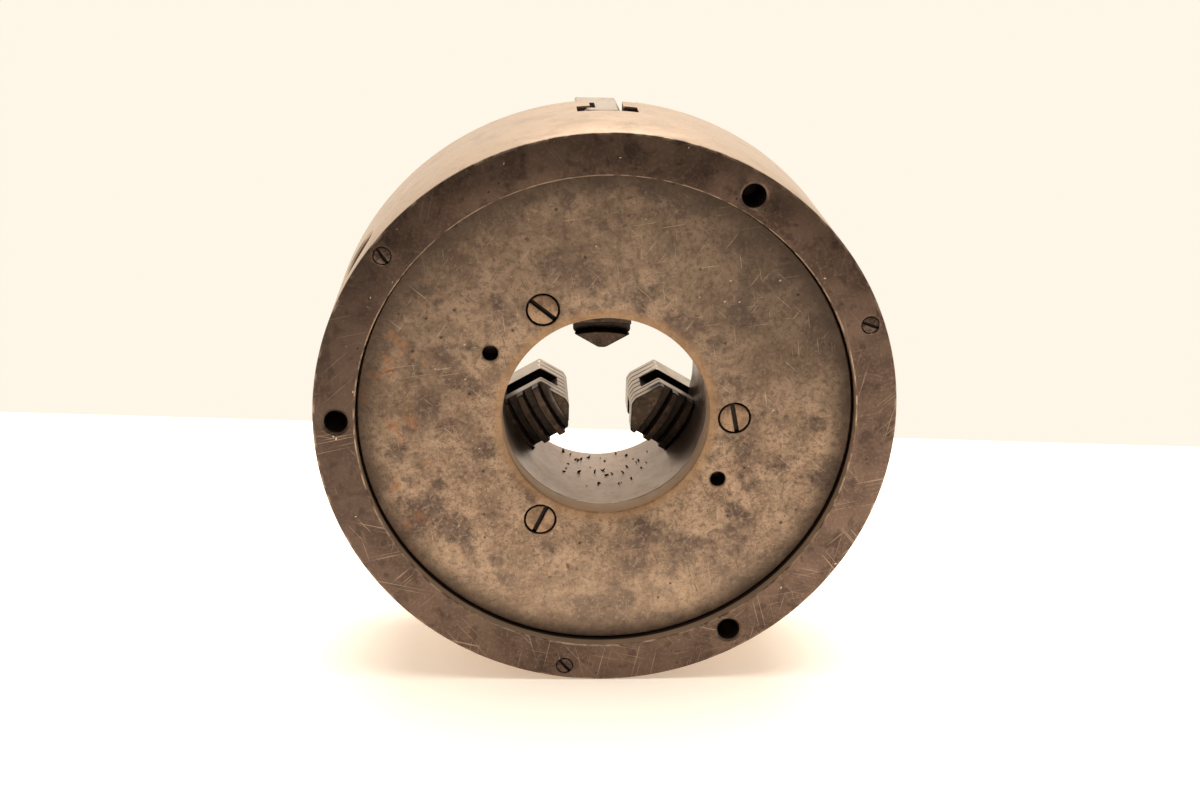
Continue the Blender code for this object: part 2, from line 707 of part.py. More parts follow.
def make_jaw(number, angle):
    plan = outline_mesh("jaw_%d" % number, [jaw_plan()], -JAW_FRONT, -TOOTH_TIP)
    jaw = add_object("jaw_%d" % number, plan, spoke(angle), PARTS)
    gaps = outline_mesh("tooth_gaps_%d" % number, tooth_gap_outlines(first_tooth_radius(angle)),
                        -TOOTH_ROOT, -TOOTH_TIP + 2.0 * MM)
    combine(jaw, "DIFFERENCE", cutter(gaps, spoke(angle)))
    for side in (-1.0, 1.0):
        y_inner = side * JAW_WEB_HALF
        y_outer = side * (JAW_HALF + 2.0 * MM)
        groove = box_mesh(
            "jaw_groove",
            (0.0, min(y_inner, y_outer), -GROOVE_FRONT),
            (JAW_END + 5.0 * MM, max(y_inner, y_outer), -GROOVE_BACK),
        )
        combine(jaw, "DIFFERENCE", cutter(groove, spoke(angle)))
    key_slot = box_mesh(
        "cross_key_slot",
        (KEY_SLOT[0], -JAW_HALF - MM, -JAW_FRONT - MM),
        (KEY_SLOT[1], JAW_HALF + MM, -JAW_FRONT + KEY_SLOT_DEPTH),
    )
    combine(jaw, "DIFFERENCE", cutter(key_slot, spoke(angle)))
    for radius in TAPPED_HOLE_PLACES:
        hole_at = spoke(angle) @ Matrix.Translation((radius, 0.0, 0.0))
        tapped = drill("jaw_tapped_hole", TAPPED_HOLE, -TAPPED_HOLE_FLOOR, -JAW_FRONT - MM, hole_at, 16)
        combine(jaw, "DIFFERENCE", tapped)
    corner = [
        (JAW_END - FOOT_BEVEL, JAW_HALF),
        (JAW_END, JAW_HALF - FOOT_BEVEL),
        (JAW_END + FOOT_BEVEL, JAW_HALF + FOOT_BEVEL),
    ]
    foot_cut = outline_mesh("foot_cut", [corner], -GROOVE_BACK - MM, -TOOTH_TIP + MM)
    combine(jaw, "DIFFERENCE", cutter(foot_cut, spoke(angle)))
    finish(jaw, steel("jaw_steel_%d" % number, (0.10, 0.08, 0.07), 0.40))


clear_scene()
FRAME = bpy.data.objects.new("chuck_frame", None)
PARTS.objects.link(FRAME)
FRAME.location = (0.0, -JAW_FRONT / 2.0, 0.0)
FRAME.rotation_euler = (math.radians(90.0), 0.0, 0.0)

make_body()
make_cover()
make_scroll()
make_pinions()
make_pinion_pins()
make_cover_screws()
make_cover_dowels()
for jaw_number, jaw_angle in enumerate(JAW_ANGLES, start=1):
    make_jaw(jaw_number, jaw_angle)
bpy.context.view_layer.update()
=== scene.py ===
"""Looks of a 250 mm three-jaw self-centring lathe chuck that stands on its rim.

Sizes are in millimetres until a finished mesh is placed. A piece is shaped in the
chuck's own frame: Z points out of the back face, so a depth d behind the back rim
is z = -d, and an angle is the one seen from the back, counter-clockwise from +X.
"""
import math

import bmesh
import bpy
from mathutils import Matrix, Vector


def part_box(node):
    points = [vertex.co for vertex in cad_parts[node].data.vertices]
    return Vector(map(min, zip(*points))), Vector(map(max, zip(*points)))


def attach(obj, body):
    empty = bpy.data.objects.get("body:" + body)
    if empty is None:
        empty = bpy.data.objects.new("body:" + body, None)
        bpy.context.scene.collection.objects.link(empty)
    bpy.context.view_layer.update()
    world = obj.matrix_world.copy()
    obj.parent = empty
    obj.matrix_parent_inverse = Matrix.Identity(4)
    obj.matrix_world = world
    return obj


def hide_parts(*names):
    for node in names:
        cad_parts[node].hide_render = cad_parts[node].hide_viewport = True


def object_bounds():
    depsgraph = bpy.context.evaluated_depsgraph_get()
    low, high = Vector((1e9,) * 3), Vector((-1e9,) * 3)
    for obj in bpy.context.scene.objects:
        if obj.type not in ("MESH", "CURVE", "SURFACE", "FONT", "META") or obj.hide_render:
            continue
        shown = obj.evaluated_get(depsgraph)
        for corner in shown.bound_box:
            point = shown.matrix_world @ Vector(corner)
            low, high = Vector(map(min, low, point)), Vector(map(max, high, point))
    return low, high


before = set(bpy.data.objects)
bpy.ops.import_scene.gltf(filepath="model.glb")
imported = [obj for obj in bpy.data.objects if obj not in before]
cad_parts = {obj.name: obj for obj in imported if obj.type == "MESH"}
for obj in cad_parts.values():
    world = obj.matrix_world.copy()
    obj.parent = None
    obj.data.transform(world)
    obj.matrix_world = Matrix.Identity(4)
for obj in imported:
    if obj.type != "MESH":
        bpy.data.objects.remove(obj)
cad_low, cad_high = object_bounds()

MM = 0.001
TURN = 2.0 * math.pi
BACK_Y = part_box("chuck_body")[0][1]
PLACE = Matrix.Translation((0.0, BACK_Y, 0.0)) @ Matrix.Rotation(math.radians(90.0), 4, "X")
CRISP_ANGLE = math.radians(30.0)
# How far a cutting tool runs past the surface it cuts
OVER = 1.0

# Body
RIM = (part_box("chuck_body")[1][0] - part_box("chuck_body")[0][0]) / 2.0 / MM
FRONT = (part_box("chuck_body")[1][1] - BACK_Y) / MM
RECESS = 107.4
SEAT = 16.8
BORE = 44.75
HUB = 63.0
CAVITY = 100.0
PLATE = 55.3
RIM_EDGE = 0.7
RIM_EDGE_MIDDLE = 0.2
FRONT_EDGE = 1.5
FRONT_EDGE_MIDDLE = (0.4, 0.5)
RECESS_EDGE = 0.5
SEAT_EDGE = 0.4
DISC_STEPS = 256

# Jaw slots in the body, with a rail along each side
SLOT_HALF = 13.3
SLOT_FLOOR = 49.4
SLOT_REACH = (30.0, 140.0)
SLOT_MOUTH = 0.7
RAIL_HALF = 7.4
RAIL = (61.5, 73.3)
RAIL_EDGE = 0.4

# Cover plate
COVER_BACK = 6.8
COVER_INNER = SEAT - 0.3
COVER_RADIUS = 107.0
COVER_EDGE = 0.7
COVER_BORE_EDGE = 1.2
COVER_BORE_EDGE_MIDDLE = 0.35
BELOW_COVER = 18.0
BOSS = (63.5, 73.5)
BOSS_DEPTH = 40.0
CHANNEL_HALF = 6.5

# Scroll
PITCH = 8.0
SCROLL_BORE = 63.5
SCROLL_RADIUS = 99.3
SCROLL_LAND = BOSS_DEPTH + 0.3
SCROLL_EDGE = 0.5
GROOVE_FLOOR = 49.7
RIDGE_TOP = 54.9
RIDGE_WIDTH = 3.4
RIDGE_EDGE = 0.35
RIDGE_SUNK = 0.6
RIDGE_RADII = (97.2, 66.0)
RIDGE_OUTER_END = 175.5
RIDGE_STEPS = 480

# Bevel gears; tooth heights are shares of the module
PINION_DEPTH = 32.0
PINION_TEETH = 9
SCROLL_TEETH = 81
PITCH_SLOPE = PINION_TEETH / SCROLL_TEETH
MODULE = 2.0 * PITCH_SLOPE / PINION_TEETH
FACE = (77.0, 98.5)
PRESSURE_ANGLE = math.radians(25.0)
BACKLASH = 0.22
SCROLL_TOOTH_RISE = 0.85
SCROLL_TOOTH_SINK = 1.75
SCROLL_ROOT = 1.25
PINION_TOOTH_RISE = 0.92
PINION_TOOTH_ROOT = 1.3

# Pinions, and their holes in the body
PINION_END = 122.0
PINION_NECK = 12.3
PINION_NECK_EDGE = 0.8
PINION_SHOULDER = 115.2
JOURNAL = 13.7
JOURNAL_INNER = 100.4
JOURNAL_EDGE = 0.5
TOOTH_CORE = (6.4, 8.2)
SPIGOT = 6.0
SPIGOT_END = 52.5
SPIGOT_EDGE = 0.6
KEY_HALF = 6.0
KEY_FLOOR = 106.0
KEY_MOUTH = 0.7
PINION_HOLE = 14.0
PINION_HOLE_REACH = (90.0, 140.0)
PINION_HOLE_MOUTH = 3.1
PINION_HOLE_MOUTH_TOP = 126.5
SPIGOT_HOLE = 6.35
SPIGOT_HOLE_REACH = (51.5, 66.0)

# Jaws
JAW_HALF = 13.0
JAW_TIP = 17.5
JAW_END = 124.0
JAW_FRONT = (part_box("jaw_1")[1][1] - BACK_Y) / MM
JAW_CORNER = 0.5
JAW_BACK_EDGE = 0.4
JAW_TAIL_BEVEL = 16.0
JAW_TAIL_CORNER = 4.8
FOOT_BEVEL = 4.4
TIP_FLAT_HALF = 1.6
TIP_SLOPE = math.radians(60.0)
TOOTH_CREST = 50.0
TOOTH_ROOT = 55.2
TOOTH_WIDTH = 3.8
TOOTH_FILLET = 0.5
INNER_FLANK = 105.0
OUTER_FLANK = 58.0
TAIL_FLANK = 400.0
FLANK_STEPS = 12
SOLID_TIP = 4.0
LAST_TOOTH_MARGIN = 3.0
GROOVE = (61.2, 73.6)
WEB_HALF = 4.9
SERRATIONS = range(54, 86, 5)
# Half the width of a serration, which is also its depth
SERRATION_HALF = 0.6
CROSS_SLOT = 76.0
CROSS_SLOT_HALF = 6.0
CROSS_SLOT_DEPTH = 3.5
CROSS_SLOT_EDGE = 0.4
TAPPED_HOLE = 4.25
TAPPED_HOLE_MOUTH = 0.8
TAPPED_HOLE_ENDS = (70.0, 90.0)
TAPPED_HOLE_PLACES = (54.0, 98.0)

# Places round the chuck
JAW_ANGLES = (90.0, 210.0, 330.0)
PINION_ANGLES = (30.0, 150.0, 270.0)

# Cover screws
SCREW_ANGLES = (120.0, 240.0, 0.0)
SCREW_SLOTS = (-38.0, 65.0, -78.0)
SCREW_CIRCLE = 55.8
SCREW_HEAD = 6.38
SCREW_HEAD_HEIGHT = 5.0
SCREW_SHANK = 3.5
SCREW_END = 36.8
SCREW_POINT = 0.8
SCREW_HOLE = 4.4
SCREW_HOLE_ENDS = (10.0, 38.0)
COUNTERBORE = 7.2
COUNTERBORE_DEPTH = 5.5
THREAD_RADIUS = 3.45
THREAD_ENDS = (18.0, 35.6)
THREAD_STEP = 1.25
THREAD_SUNK = 0.3
THREAD_TURN_STEPS = 28

# Screwdriver slots: half length, half width and depth, and the worn lip
SCREW_SLOT = (8.0, 0.9, 2.2)
PLUG_SLOT = (5.0, 0.5, 1.3)
SLOT_LIP = 0.35
SLOT_LIP_WIDENING = 0.5

# Jack holes and dowels
JACK_ANGLES = (150.0, 330.0)
JACK_CIRCLE = 57.7
JACK_HOLE = 3.4
DOWEL_ANGLES = (60.0, 180.0)
DOWEL_RADIUS = 3.0
DOWEL_ENDS = (10.4, 27.0)
DOWEL_HOLE = 3.35
DOWEL_HOLE_ENDS = (10.0, 28.0)

# Mounting holes in the rim
MOUNT_ANGLES = (60.0, 180.0, 300.0)
MOUNT_CIRCLE = 115.2
MOUNT_HOLE = 5.1
MOUNT_HOLE_FLOOR = 24.0
MOUNT_HOLE_POINT = 3.0

# Pinion pins, and the slotted plugs behind them
PIN_ANGLES = (22.2, 142.2, 262.2)
PIN_CIRCLE = 119.0
PIN_RADIUS = 3.5
PIN_ENDS = (6.3, 47.0)
PIN_HOLE = 3.85
PIN_HOLE_FLOOR = 48.0
PLUG_SLOTS = (-20.0, -55.0, -50.0)
PLUG_RADIUS = 3.55
PLUG_ENDS = (0.2, 6.0)

# Swarf on the lower wall of the bore
SWARF_ARC = (246.0, 302.0)
SWARF_DEPTHS = (34.0, 75.0)
SWARF_LIFT = 0.15

# Roughness is kept between these
GLOSSIEST = 0.12
DULLEST = 0.95
# Inputs of a colour mix: how much, under and over
MIX_INPUTS = (0, 6, 7)

# Where the floor ends behind the chuck, at its left and right, in metres
FLOOR_BACK = (0.472, 0.061)
FLOOR_FRONT = -0.75
FLOOR_HALF = 3.0

# Camera, in metres and degrees, and the room's light from behind the camera to beyond the chuck
LENS = 47.42
CAMERA_PLACE = (-0.04202, -0.67231, 0.24544)
CAMERA_YAW, CAMERA_PITCH, CAMERA_ROLL = -3.526, -20.446, -1.530
ROOM_HEADINGS = (-0.7, 0.5)
ROOM_STRENGTHS = (0.18, 1.10)


# Shaping --------------------

def spoke(degrees, radius=0.0):
    """Frame whose X runs outwards along a spoke."""
    return Matrix.Rotation(math.radians(degrees), 4, "Z") @ Matrix.Translation((radius, 0.0, 0.0))


def along_spoke(degrees):
    """Frame whose Z runs outwards along a pinion's spoke, with Y along the back axis."""
    outward = Matrix.Rotation(math.radians(90.0), 4, "Z") @ Matrix.Rotation(math.radians(90.0), 4, "X")
    return Matrix.Translation((0.0, 0.0, -PINION_DEPTH)) @ spoke(degrees) @ outward


def plain_mesh(obj):
    """The evaluated shape of an object as a plain mesh; the object is then removed."""
    bpy.context.view_layer.update()
    mesh = bpy.data.meshes.new_from_object(obj.evaluated_get(bpy.context.evaluated_depsgraph_get()))
    bpy.data.objects.remove(obj, do_unlink=True)
    return mesh


def linked(data, name="blank"):
    """A new object in the scene that holds the data."""
    obj = bpy.data.objects.new(name, data)
    bpy.context.scene.collection.objects.link(obj)
    return obj


def cleaned(mesh):
    """Doubles merged, then normals turned outwards."""
    bm = bmesh.new()
    bm.from_mesh(mesh)
    bmesh.ops.remove_doubles(bm, verts=bm.verts, dist=0.002)
    bmesh.ops.dissolve_degenerate(bm, edges=bm.edges, dist=0.001)
    bmesh.ops.recalc_face_normals(bm, faces=bm.faces)
    bm.to_mesh(mesh)
    bm.free()
    return mesh


def closed_outline(points):
    """A mesh of edges alone that joins the points into a closed outline."""
    mesh = bpy.data.meshes.new("outline")
    mesh.from_pydata(points, [(i, (i + 1) % len(points)) for i in range(len(points))], [])
    return mesh


def turned(profile, steps=192):
    """A closed or axis-to-axis profile of (radius, z) points, spun round Z."""
    mesh = bpy.data.meshes.new("profile")
    edges = [(i, i + 1) for i in range(len(profile) - 1)]
    if profile[0][0] > 0.0:
        edges.append((len(profile) - 1, 0))
    mesh.from_pydata([(radius, 0.0, z) for radius, z in profile], edges, [])
    guide = linked(mesh)
    screw = guide.modifiers.new("Turn", "SCREW")
    screw.steps = steps
    screw.render_steps = steps
    screw.use_merge_vertices = True
    screw.merge_threshold = 0.001
    return cleaned(plain_mesh(guide))


def at_depths(profile):
    return [(radius, -depth) for radius, depth in profile]


def mesh_of(bm, name):
    """The plain mesh of a finished edit, which is then freed."""
    mesh = bpy.data.meshes.new(name)
    bm.to_mesh(mesh)
    bm.free()
    return mesh


def lofted(levels):
    """Closed solid through a stack of (z, outline) levels that have equally many points."""
    bm = bmesh.new()
    rings = [[bm.verts.new((x, y, z)) for x, y in outline] for z, outline in levels]
    for low, high in zip(rings, rings[1:]):
        for i, corner in enumerate(low):
            bm.faces.new((low[i - 1], corner, high[i], high[i - 1]))
    bm.faces.new(rings[0])
    bm.faces.new(rings[-1])
    bmesh.ops.recalc_face_normals(bm, faces=bm.faces)
    return mesh_of(bm, "lofted")


def rectangle(half_x, half_y, x=0.0, y=0.0):
    return [(x + i * half_x, y + j * half_y) for i, j in ((-1, -1), (1, -1), (1, 1), (-1, 1))]


def inset(outline, depth):
    """The outline, counter-clockwise, moved inwards by depth."""
    smaller = []
    for i, point in enumerate(outline):
        before = Vector(point) - Vector(outline[i - 1])
        after = Vector(outline[(i + 1) % len(outline)]) - Vector(point)
        normals = [Vector((-edge.y, edge.x)).normalized() for edge in (before, after)]
        shift = (normals[0] + normals[1]) / (1.0 + normals[0].dot(normals[1])) * depth
        smaller.append((point[0] + shift.x, point[1] + shift.y))
    return smaller


def corners_cut(outline, size):
    """The outline with every corner replaced by a small flat."""
    points = []
    for i, point in enumerate(outline):
        corner = Vector(point)
        for other in (outline[i - 1], outline[(i + 1) % len(outline)]):
            points.append(tuple(corner + (Vector(other) - corner).normalized() * size))
    return points


def moved(mesh, matrix):
    copy = mesh.copy()
    copy.transform(matrix)
    return copy


def joined(meshes):
    bm = bmesh.new()
    for mesh in meshes:
        bm.from_mesh(mesh)
    return mesh_of(bm, "joined")


def cut(blank, cutters, operation="DIFFERENCE"):
    """The blank with each cutter taken away, or each added where that is asked for."""
    obj = linked(blank)
    tools = [linked(tool, "tool") for tool in cutters]
    for tool in tools:
        modifier = obj.modifiers.new("Cut", "BOOLEAN")
        modifier.operation = operation
        modifier.solver = "EXACT"
        modifier.object = tool
    mesh = plain_mesh(obj)
    for tool in tools:
        bpy.data.objects.remove(tool, do_unlink=True)
    return cleaned(mesh)


def fitted(name, mesh, finish, body, nodes):
    """Puts a finished mesh in the frame: origin at zero, place in the mesh, smooth with crisp edges."""
    mesh.transform(PLACE @ Matrix.Scale(MM, 4))
    mesh.name = name
    mesh.materials.clear()
    mesh.materials.append(finish)
    mesh.shade_smooth()
    mesh.set_sharp_from_angle(angle=CRISP_ANGLE)
    piece = linked(mesh, name)
    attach(piece, body)
    if nodes:
        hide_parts(*nodes)
    return piece


# Node trees --------------------

class Graph:
    """A node tree built one node at a time; an input takes a plain value or another node's output."""

    def __init__(self, tree):
        self.tree = tree

    def node(self, kind, settings=None, **feeds):
        """A new node; in the name of an input an underscore stands for a space."""
        node = self.tree.nodes.new(kind)
        for key, value in (settings or {}).items():
            setattr(node, key, value)
        for key, value in feeds.items():
            self.feed(node.inputs[key.replace("_", " ")], value)
        return node

    def feed(self, socket, value):
        if isinstance(value, bpy.types.NodeSocket):
            self.tree.links.new(value, socket)
        else:
            socket.default_value = value

    def calc(self, operation, *values):
        node = self.node("ShaderNodeMath", {"operation": operation})
        for socket, value in zip(node.inputs, values):
            self.feed(socket, value)
        return node.outputs[0]


# Patterns that repeat or follow a path --------------------

class Pattern(Graph):
    """A Geometry Nodes tree with named inputs."""

    def __init__(self, name, inputs):
        super().__init__(bpy.data.node_groups.new(name, "GeometryNodeTree"))
        self.tree.is_modifier = True
        interface = self.tree.interface
        interface.new_socket("Geometry", in_out="INPUT", socket_type="NodeSocketGeometry")
        for label, kind in inputs.items():
            interface.new_socket(label, in_out="INPUT", socket_type="NodeSocket" + kind)
        interface.new_socket("Finish", in_out="INPUT", socket_type="NodeSocketMaterial")
        interface.new_socket("Geometry", in_out="OUTPUT", socket_type="NodeSocketGeometry")
        self.given = self.node("NodeGroupInput").outputs
        self.result = self.node("NodeGroupOutput")

    def end(self, geometry):
        real = self.node("GeometryNodeRealizeInstances", Geometry=geometry)
        painted = self.node("GeometryNodeSetMaterial", Geometry=real.outputs[0],
                            Material=self.given["Finish"])
        self.feed(self.result.inputs[0], painted.outputs[0])
        return self.tree


def grown(tree, base, **values):
    """The plain mesh that a pattern makes from a base mesh."""
    obj = linked(base)
    modifier = obj.modifiers.new(tree.name, "NODES")
    modifier.node_group = tree
    for item in tree.interface.items_tree:
        key = item.name.replace(" ", "_")
        if item.in_out == "INPUT" and key in values:
            modifier[item.identifier] = values[key]
    obj.update_tag()
    return plain_mesh(obj)


def repeat_tree():
    """Repeats one gear tooth round the Z axis."""
    pattern = Pattern("teeth_round_axis", {"Count": "Int"})
    points = pattern.node("GeometryNodeMeshLine", Count=pattern.given["Count"], Offset=(0.0, 0.0, 0.0))
    index = pattern.node("GeometryNodeInputIndex").outputs[0]
    step = pattern.calc("DIVIDE", TURN, pattern.given["Count"])
    spin = pattern.node("ShaderNodeCombineXYZ", Z=pattern.calc("MULTIPLY", index, step))
    copies = pattern.node("GeometryNodeInstanceOnPoints", Points=points.outputs[0],
                          Instance=pattern.given["Geometry"], Rotation=spin.outputs[0])
    return pattern.end(copies.outputs[0])


def wound_tree():
    """Sweeps the base's section along a spiral or a helix; the section's X is radial and its Y axial."""
    pattern = Pattern("wound_ridge", {
        "Start Radius": "Float", "End Radius": "Float", "Start Height": "Float", "End Height": "Float",
        "Start Angle": "Float", "Turns": "Float", "Steps": "Int",
    })
    given = pattern.given
    line = pattern.node("GeometryNodeCurvePrimitiveLine")
    dense = pattern.node("GeometryNodeResampleCurve", Curve=line.outputs[0], Count=given["Steps"])
    along = pattern.node("GeometryNodeSplineParameter").outputs["Factor"]
    swept = pattern.calc("MULTIPLY", given["Turns"], TURN)
    angle = pattern.calc("MULTIPLY_ADD", along, swept, given["Start Angle"])
    grow = pattern.calc("SUBTRACT", given["End Radius"], given["Start Radius"])
    radius = pattern.calc("MULTIPLY_ADD", along, grow, given["Start Radius"])
    rise = pattern.calc("SUBTRACT", given["End Height"], given["Start Height"])
    height = pattern.calc("MULTIPLY_ADD", along, rise, given["Start Height"])
    x = pattern.calc("MULTIPLY", radius, pattern.calc("COSINE", angle))
    y = pattern.calc("MULTIPLY", radius, pattern.calc("SINE", angle))
    spot = pattern.node("ShaderNodeCombineXYZ", X=x, Y=y, Z=height)
    path = pattern.node("GeometryNodeSetPosition", Geometry=dense.outputs[0], Position=spot.outputs[0])
    upright = pattern.node("GeometryNodeSetCurveNormal", {"mode": "Z_UP"}, Curve=path.outputs[0])
    section = pattern.node("GeometryNodeMeshToCurve", Mesh=given["Geometry"])
    ridge = pattern.node("GeometryNodeCurveToMesh", Curve=upright.outputs[0],
                         Profile_Curve=section.outputs[0], Fill_Caps=True)
    return pattern.end(ridge.outputs[0])


def swarf_tree():
    """Scatters turned and sized crumbs on the base; Crumb is an object that holds one crumb."""
    pattern = Pattern("scattered_swarf", {
        "Crumb": "Object", "Density": "Float", "Least": "Float", "Most": "Float", "Seed": "Int",
    })
    given = pattern.given
    spots = pattern.node("GeometryNodeDistributePointsOnFaces", Mesh=given["Geometry"],
                         Density=given["Density"], Seed=given["Seed"])
    turn = pattern.node("FunctionNodeRandomValue", {"data_type": "FLOAT_VECTOR"}, Seed=given["Seed"])
    turn.inputs[1].default_value = (TURN, TURN, TURN)
    size = pattern.node("FunctionNodeRandomValue", {"data_type": "FLOAT"}, Seed=given["Seed"])
    for socket, label in ((size.inputs[2], "Least"), (size.inputs[3], "Most")):
        pattern.feed(socket, given[label])
    crumb = pattern.node("GeometryNodeObjectInfo", Object=given["Crumb"])
    copies = pattern.node("GeometryNodeInstanceOnPoints", Points=spots.outputs[0],
                          Instance=crumb.outputs["Geometry"], Rotation=turn.outputs[0], Scale=size.outputs[1])
    return pattern.end(copies.outputs[0])


# Finishes --------------------

def tone(red, green, blue):
    """A display colour, 0 to 255 a channel, as the linear colour the shader takes."""
    linear = []
    for value in (red, green, blue):
        value /= 255.0
        linear.append(value / 12.92 if value <= 0.04045 else ((value + 0.055) / 1.055) ** 2.4)
    return (*linear, 1.0)


class Finish(Graph):
    """One steel finish, laid up in layers of colour, gloss and relief.

    Masks read the place on the chuck: its radius, its depth behind the back rim, and how
    far it is to the right and up, all in millimetres. Colours are display colours.
    """

    def __init__(self, name, metallic, base):
        self.material = bpy.data.materials.new(name)
        self.material.use_nodes = True
        super().__init__(self.material.node_tree)
        self.shader = self.tree.nodes["Principled BSDF"]
        self.shader.inputs["Metallic"].default_value = metallic
        place = self.node("ShaderNodeTexCoord").outputs["Object"]
        self.place = self.node("ShaderNodeMapping", Location=(0.0, 0.0, 0.0), Vector=place).outputs[0]
        flat = self.node("ShaderNodeVectorMath", {"operation": "MULTIPLY"}, Vector=self.place)
        flat.inputs[1].default_value = (1.0 / MM, 0.0, 1.0 / MM)
        self.radius = self.node("ShaderNodeVectorMath", {"operation": "LENGTH"},
                                Vector=flat.outputs[0]).outputs["Value"]
        parts = self.node("ShaderNodeSeparateXYZ", Vector=self.place)
        self.right = self.calc("DIVIDE", parts.outputs["X"], MM)
        self.up = self.calc("DIVIDE", parts.outputs["Z"], MM)
        self.depth = self.calc("DIVIDE", self.calc("SUBTRACT", parts.outputs["Y"], BACK_Y), MM)
        self.colour = tone(*base)
        self.relief = None
        self.gloss = None

    def both(self, *masks):
        product = masks[0]
        for mask in masks[1:]:
            product = self.calc("MULTIPLY", product, mask)
        return product

    def ramp(self, value, low, high, start, stop):
        node = self.node("ShaderNodeMapRange", {"interpolation_type": "SMOOTHSTEP"})
        for socket, setting in zip(node.inputs, (value, low, high, start, stop)):
            self.feed(socket, setting)
        return node.outputs[0]

    def rise(self, value, low, high):
        return self.ramp(value, low, high, 0.0, 1.0)

    def fall(self, value, low, high):
        return self.ramp(value, low, high, 1.0, 0.0)

    def grain(self, size, degrees=0.0, shift=0.0):
        """Coordinates counted in grains of that (x, y, z) size in mm, turned about the chuck's axis."""
        return self.node("ShaderNodeMapping", {"vector_type": "TEXTURE"}, Vector=self.place,
                         Location=(shift, shift, shift), Rotation=(0.0, math.radians(degrees), 0.0),
                         Scale=[side * MM for side in size]).outputs[0]

    def noise(self, place, detail, rough=0.5):
        return self.node("ShaderNodeTexNoise", Vector=place, Scale=1.0, Detail=detail,
                         Roughness=rough).outputs["Fac"]

    def cloud(self, size, detail=2.0, shift=0.0, degrees=0.0, rough=0.5):
        """Soft noise whose lumps are about size mm across, or size a side for a triple."""
        sides = size if isinstance(size, tuple) else (size, size, size)
        return self.noise(self.grain(sides, degrees, shift), detail, rough)

    def blotches(self, size, detail, low, high, shift=0.0, rough=0.5):
        """The cloud of that size where it is above high, fading out towards low."""
        return self.rise(self.cloud(size, detail, shift, 0.0, rough), low, high)

    def tool_marks(self, step):
        """Fine turning marks: rings on the faces, lines round the sides."""
        rings = self.node("ShaderNodeCombineXYZ", X=self.calc("DIVIDE", self.radius, step),
                          Y=self.calc("DIVIDE", self.depth, step))
        return self.noise(rings.outputs[0], 3.0)

    def pits(self, size, least, most, share, shift=0.0, long=1.0, degrees=0.0):
        """Scattered spots, long times as long as wide: that share of the cells holds one."""
        cells = self.node("ShaderNodeTexVoronoi", Scale=1.0,
                          Vector=self.grain((size, size, size * long), degrees, shift))
        draw = self.node("ShaderNodeSeparateColor", Color=cells.outputs["Color"]).outputs[0]
        spot = self.fall(cells.outputs["Distance"], least, most)
        return self.both(spot, self.rise(draw, 1.0 - share, 1.0 - share + 0.02))

    def scratches(self, degrees, length, width, level=0.68):
        """Thin straight scratches across the back face, all in about one direction."""
        lines = self.cloud((width, 400.0, length), 1.0, degrees * 0.013, degrees)
        return self.rise(lines, level, level + 0.05)

    def lay(self, masks, colour, amount=1.0):
        """A layer of colour over what is there, where the mask, or every mask of a tuple, is one."""
        mask = self.both(*masks) if isinstance(masks, tuple) else masks
        if amount != 1.0:
            mask = self.calc("MULTIPLY", mask, amount)
        mix = self.node("ShaderNodeMix", {"data_type": "RGBA", "clamp_factor": True})
        for index, value in zip(MIX_INPUTS, (mask, self.colour, tone(*colour))):
            self.feed(mix.inputs[index], value)
        self.colour = mix.outputs[2]

    def add(self, kind, mask, amount):
        """Adds amount times the mask to the relief, in mm, or to the roughness."""
        layer = self.calc("MULTIPLY", mask, amount)
        earlier = getattr(self, kind)
        setattr(self, kind, layer if earlier is None else self.calc("ADD", earlier, layer))

    def done(self, roughness):
        self.feed(self.shader.inputs["Base Color"], self.colour)
        if self.gloss is not None:
            whole = self.calc("ADD", self.gloss, roughness)
            roughness = self.node("ShaderNodeClamp", Value=whole, Min=GLOSSIEST, Max=DULLEST).outputs[0]
        self.feed(self.shader.inputs["Roughness"], roughness)
        if self.relief is not None:
            bump = self.node("ShaderNodeBump", Distance=MM, Height=self.relief)
            self.feed(self.shader.inputs["Normal"], bump.outputs[0])
        return self.material


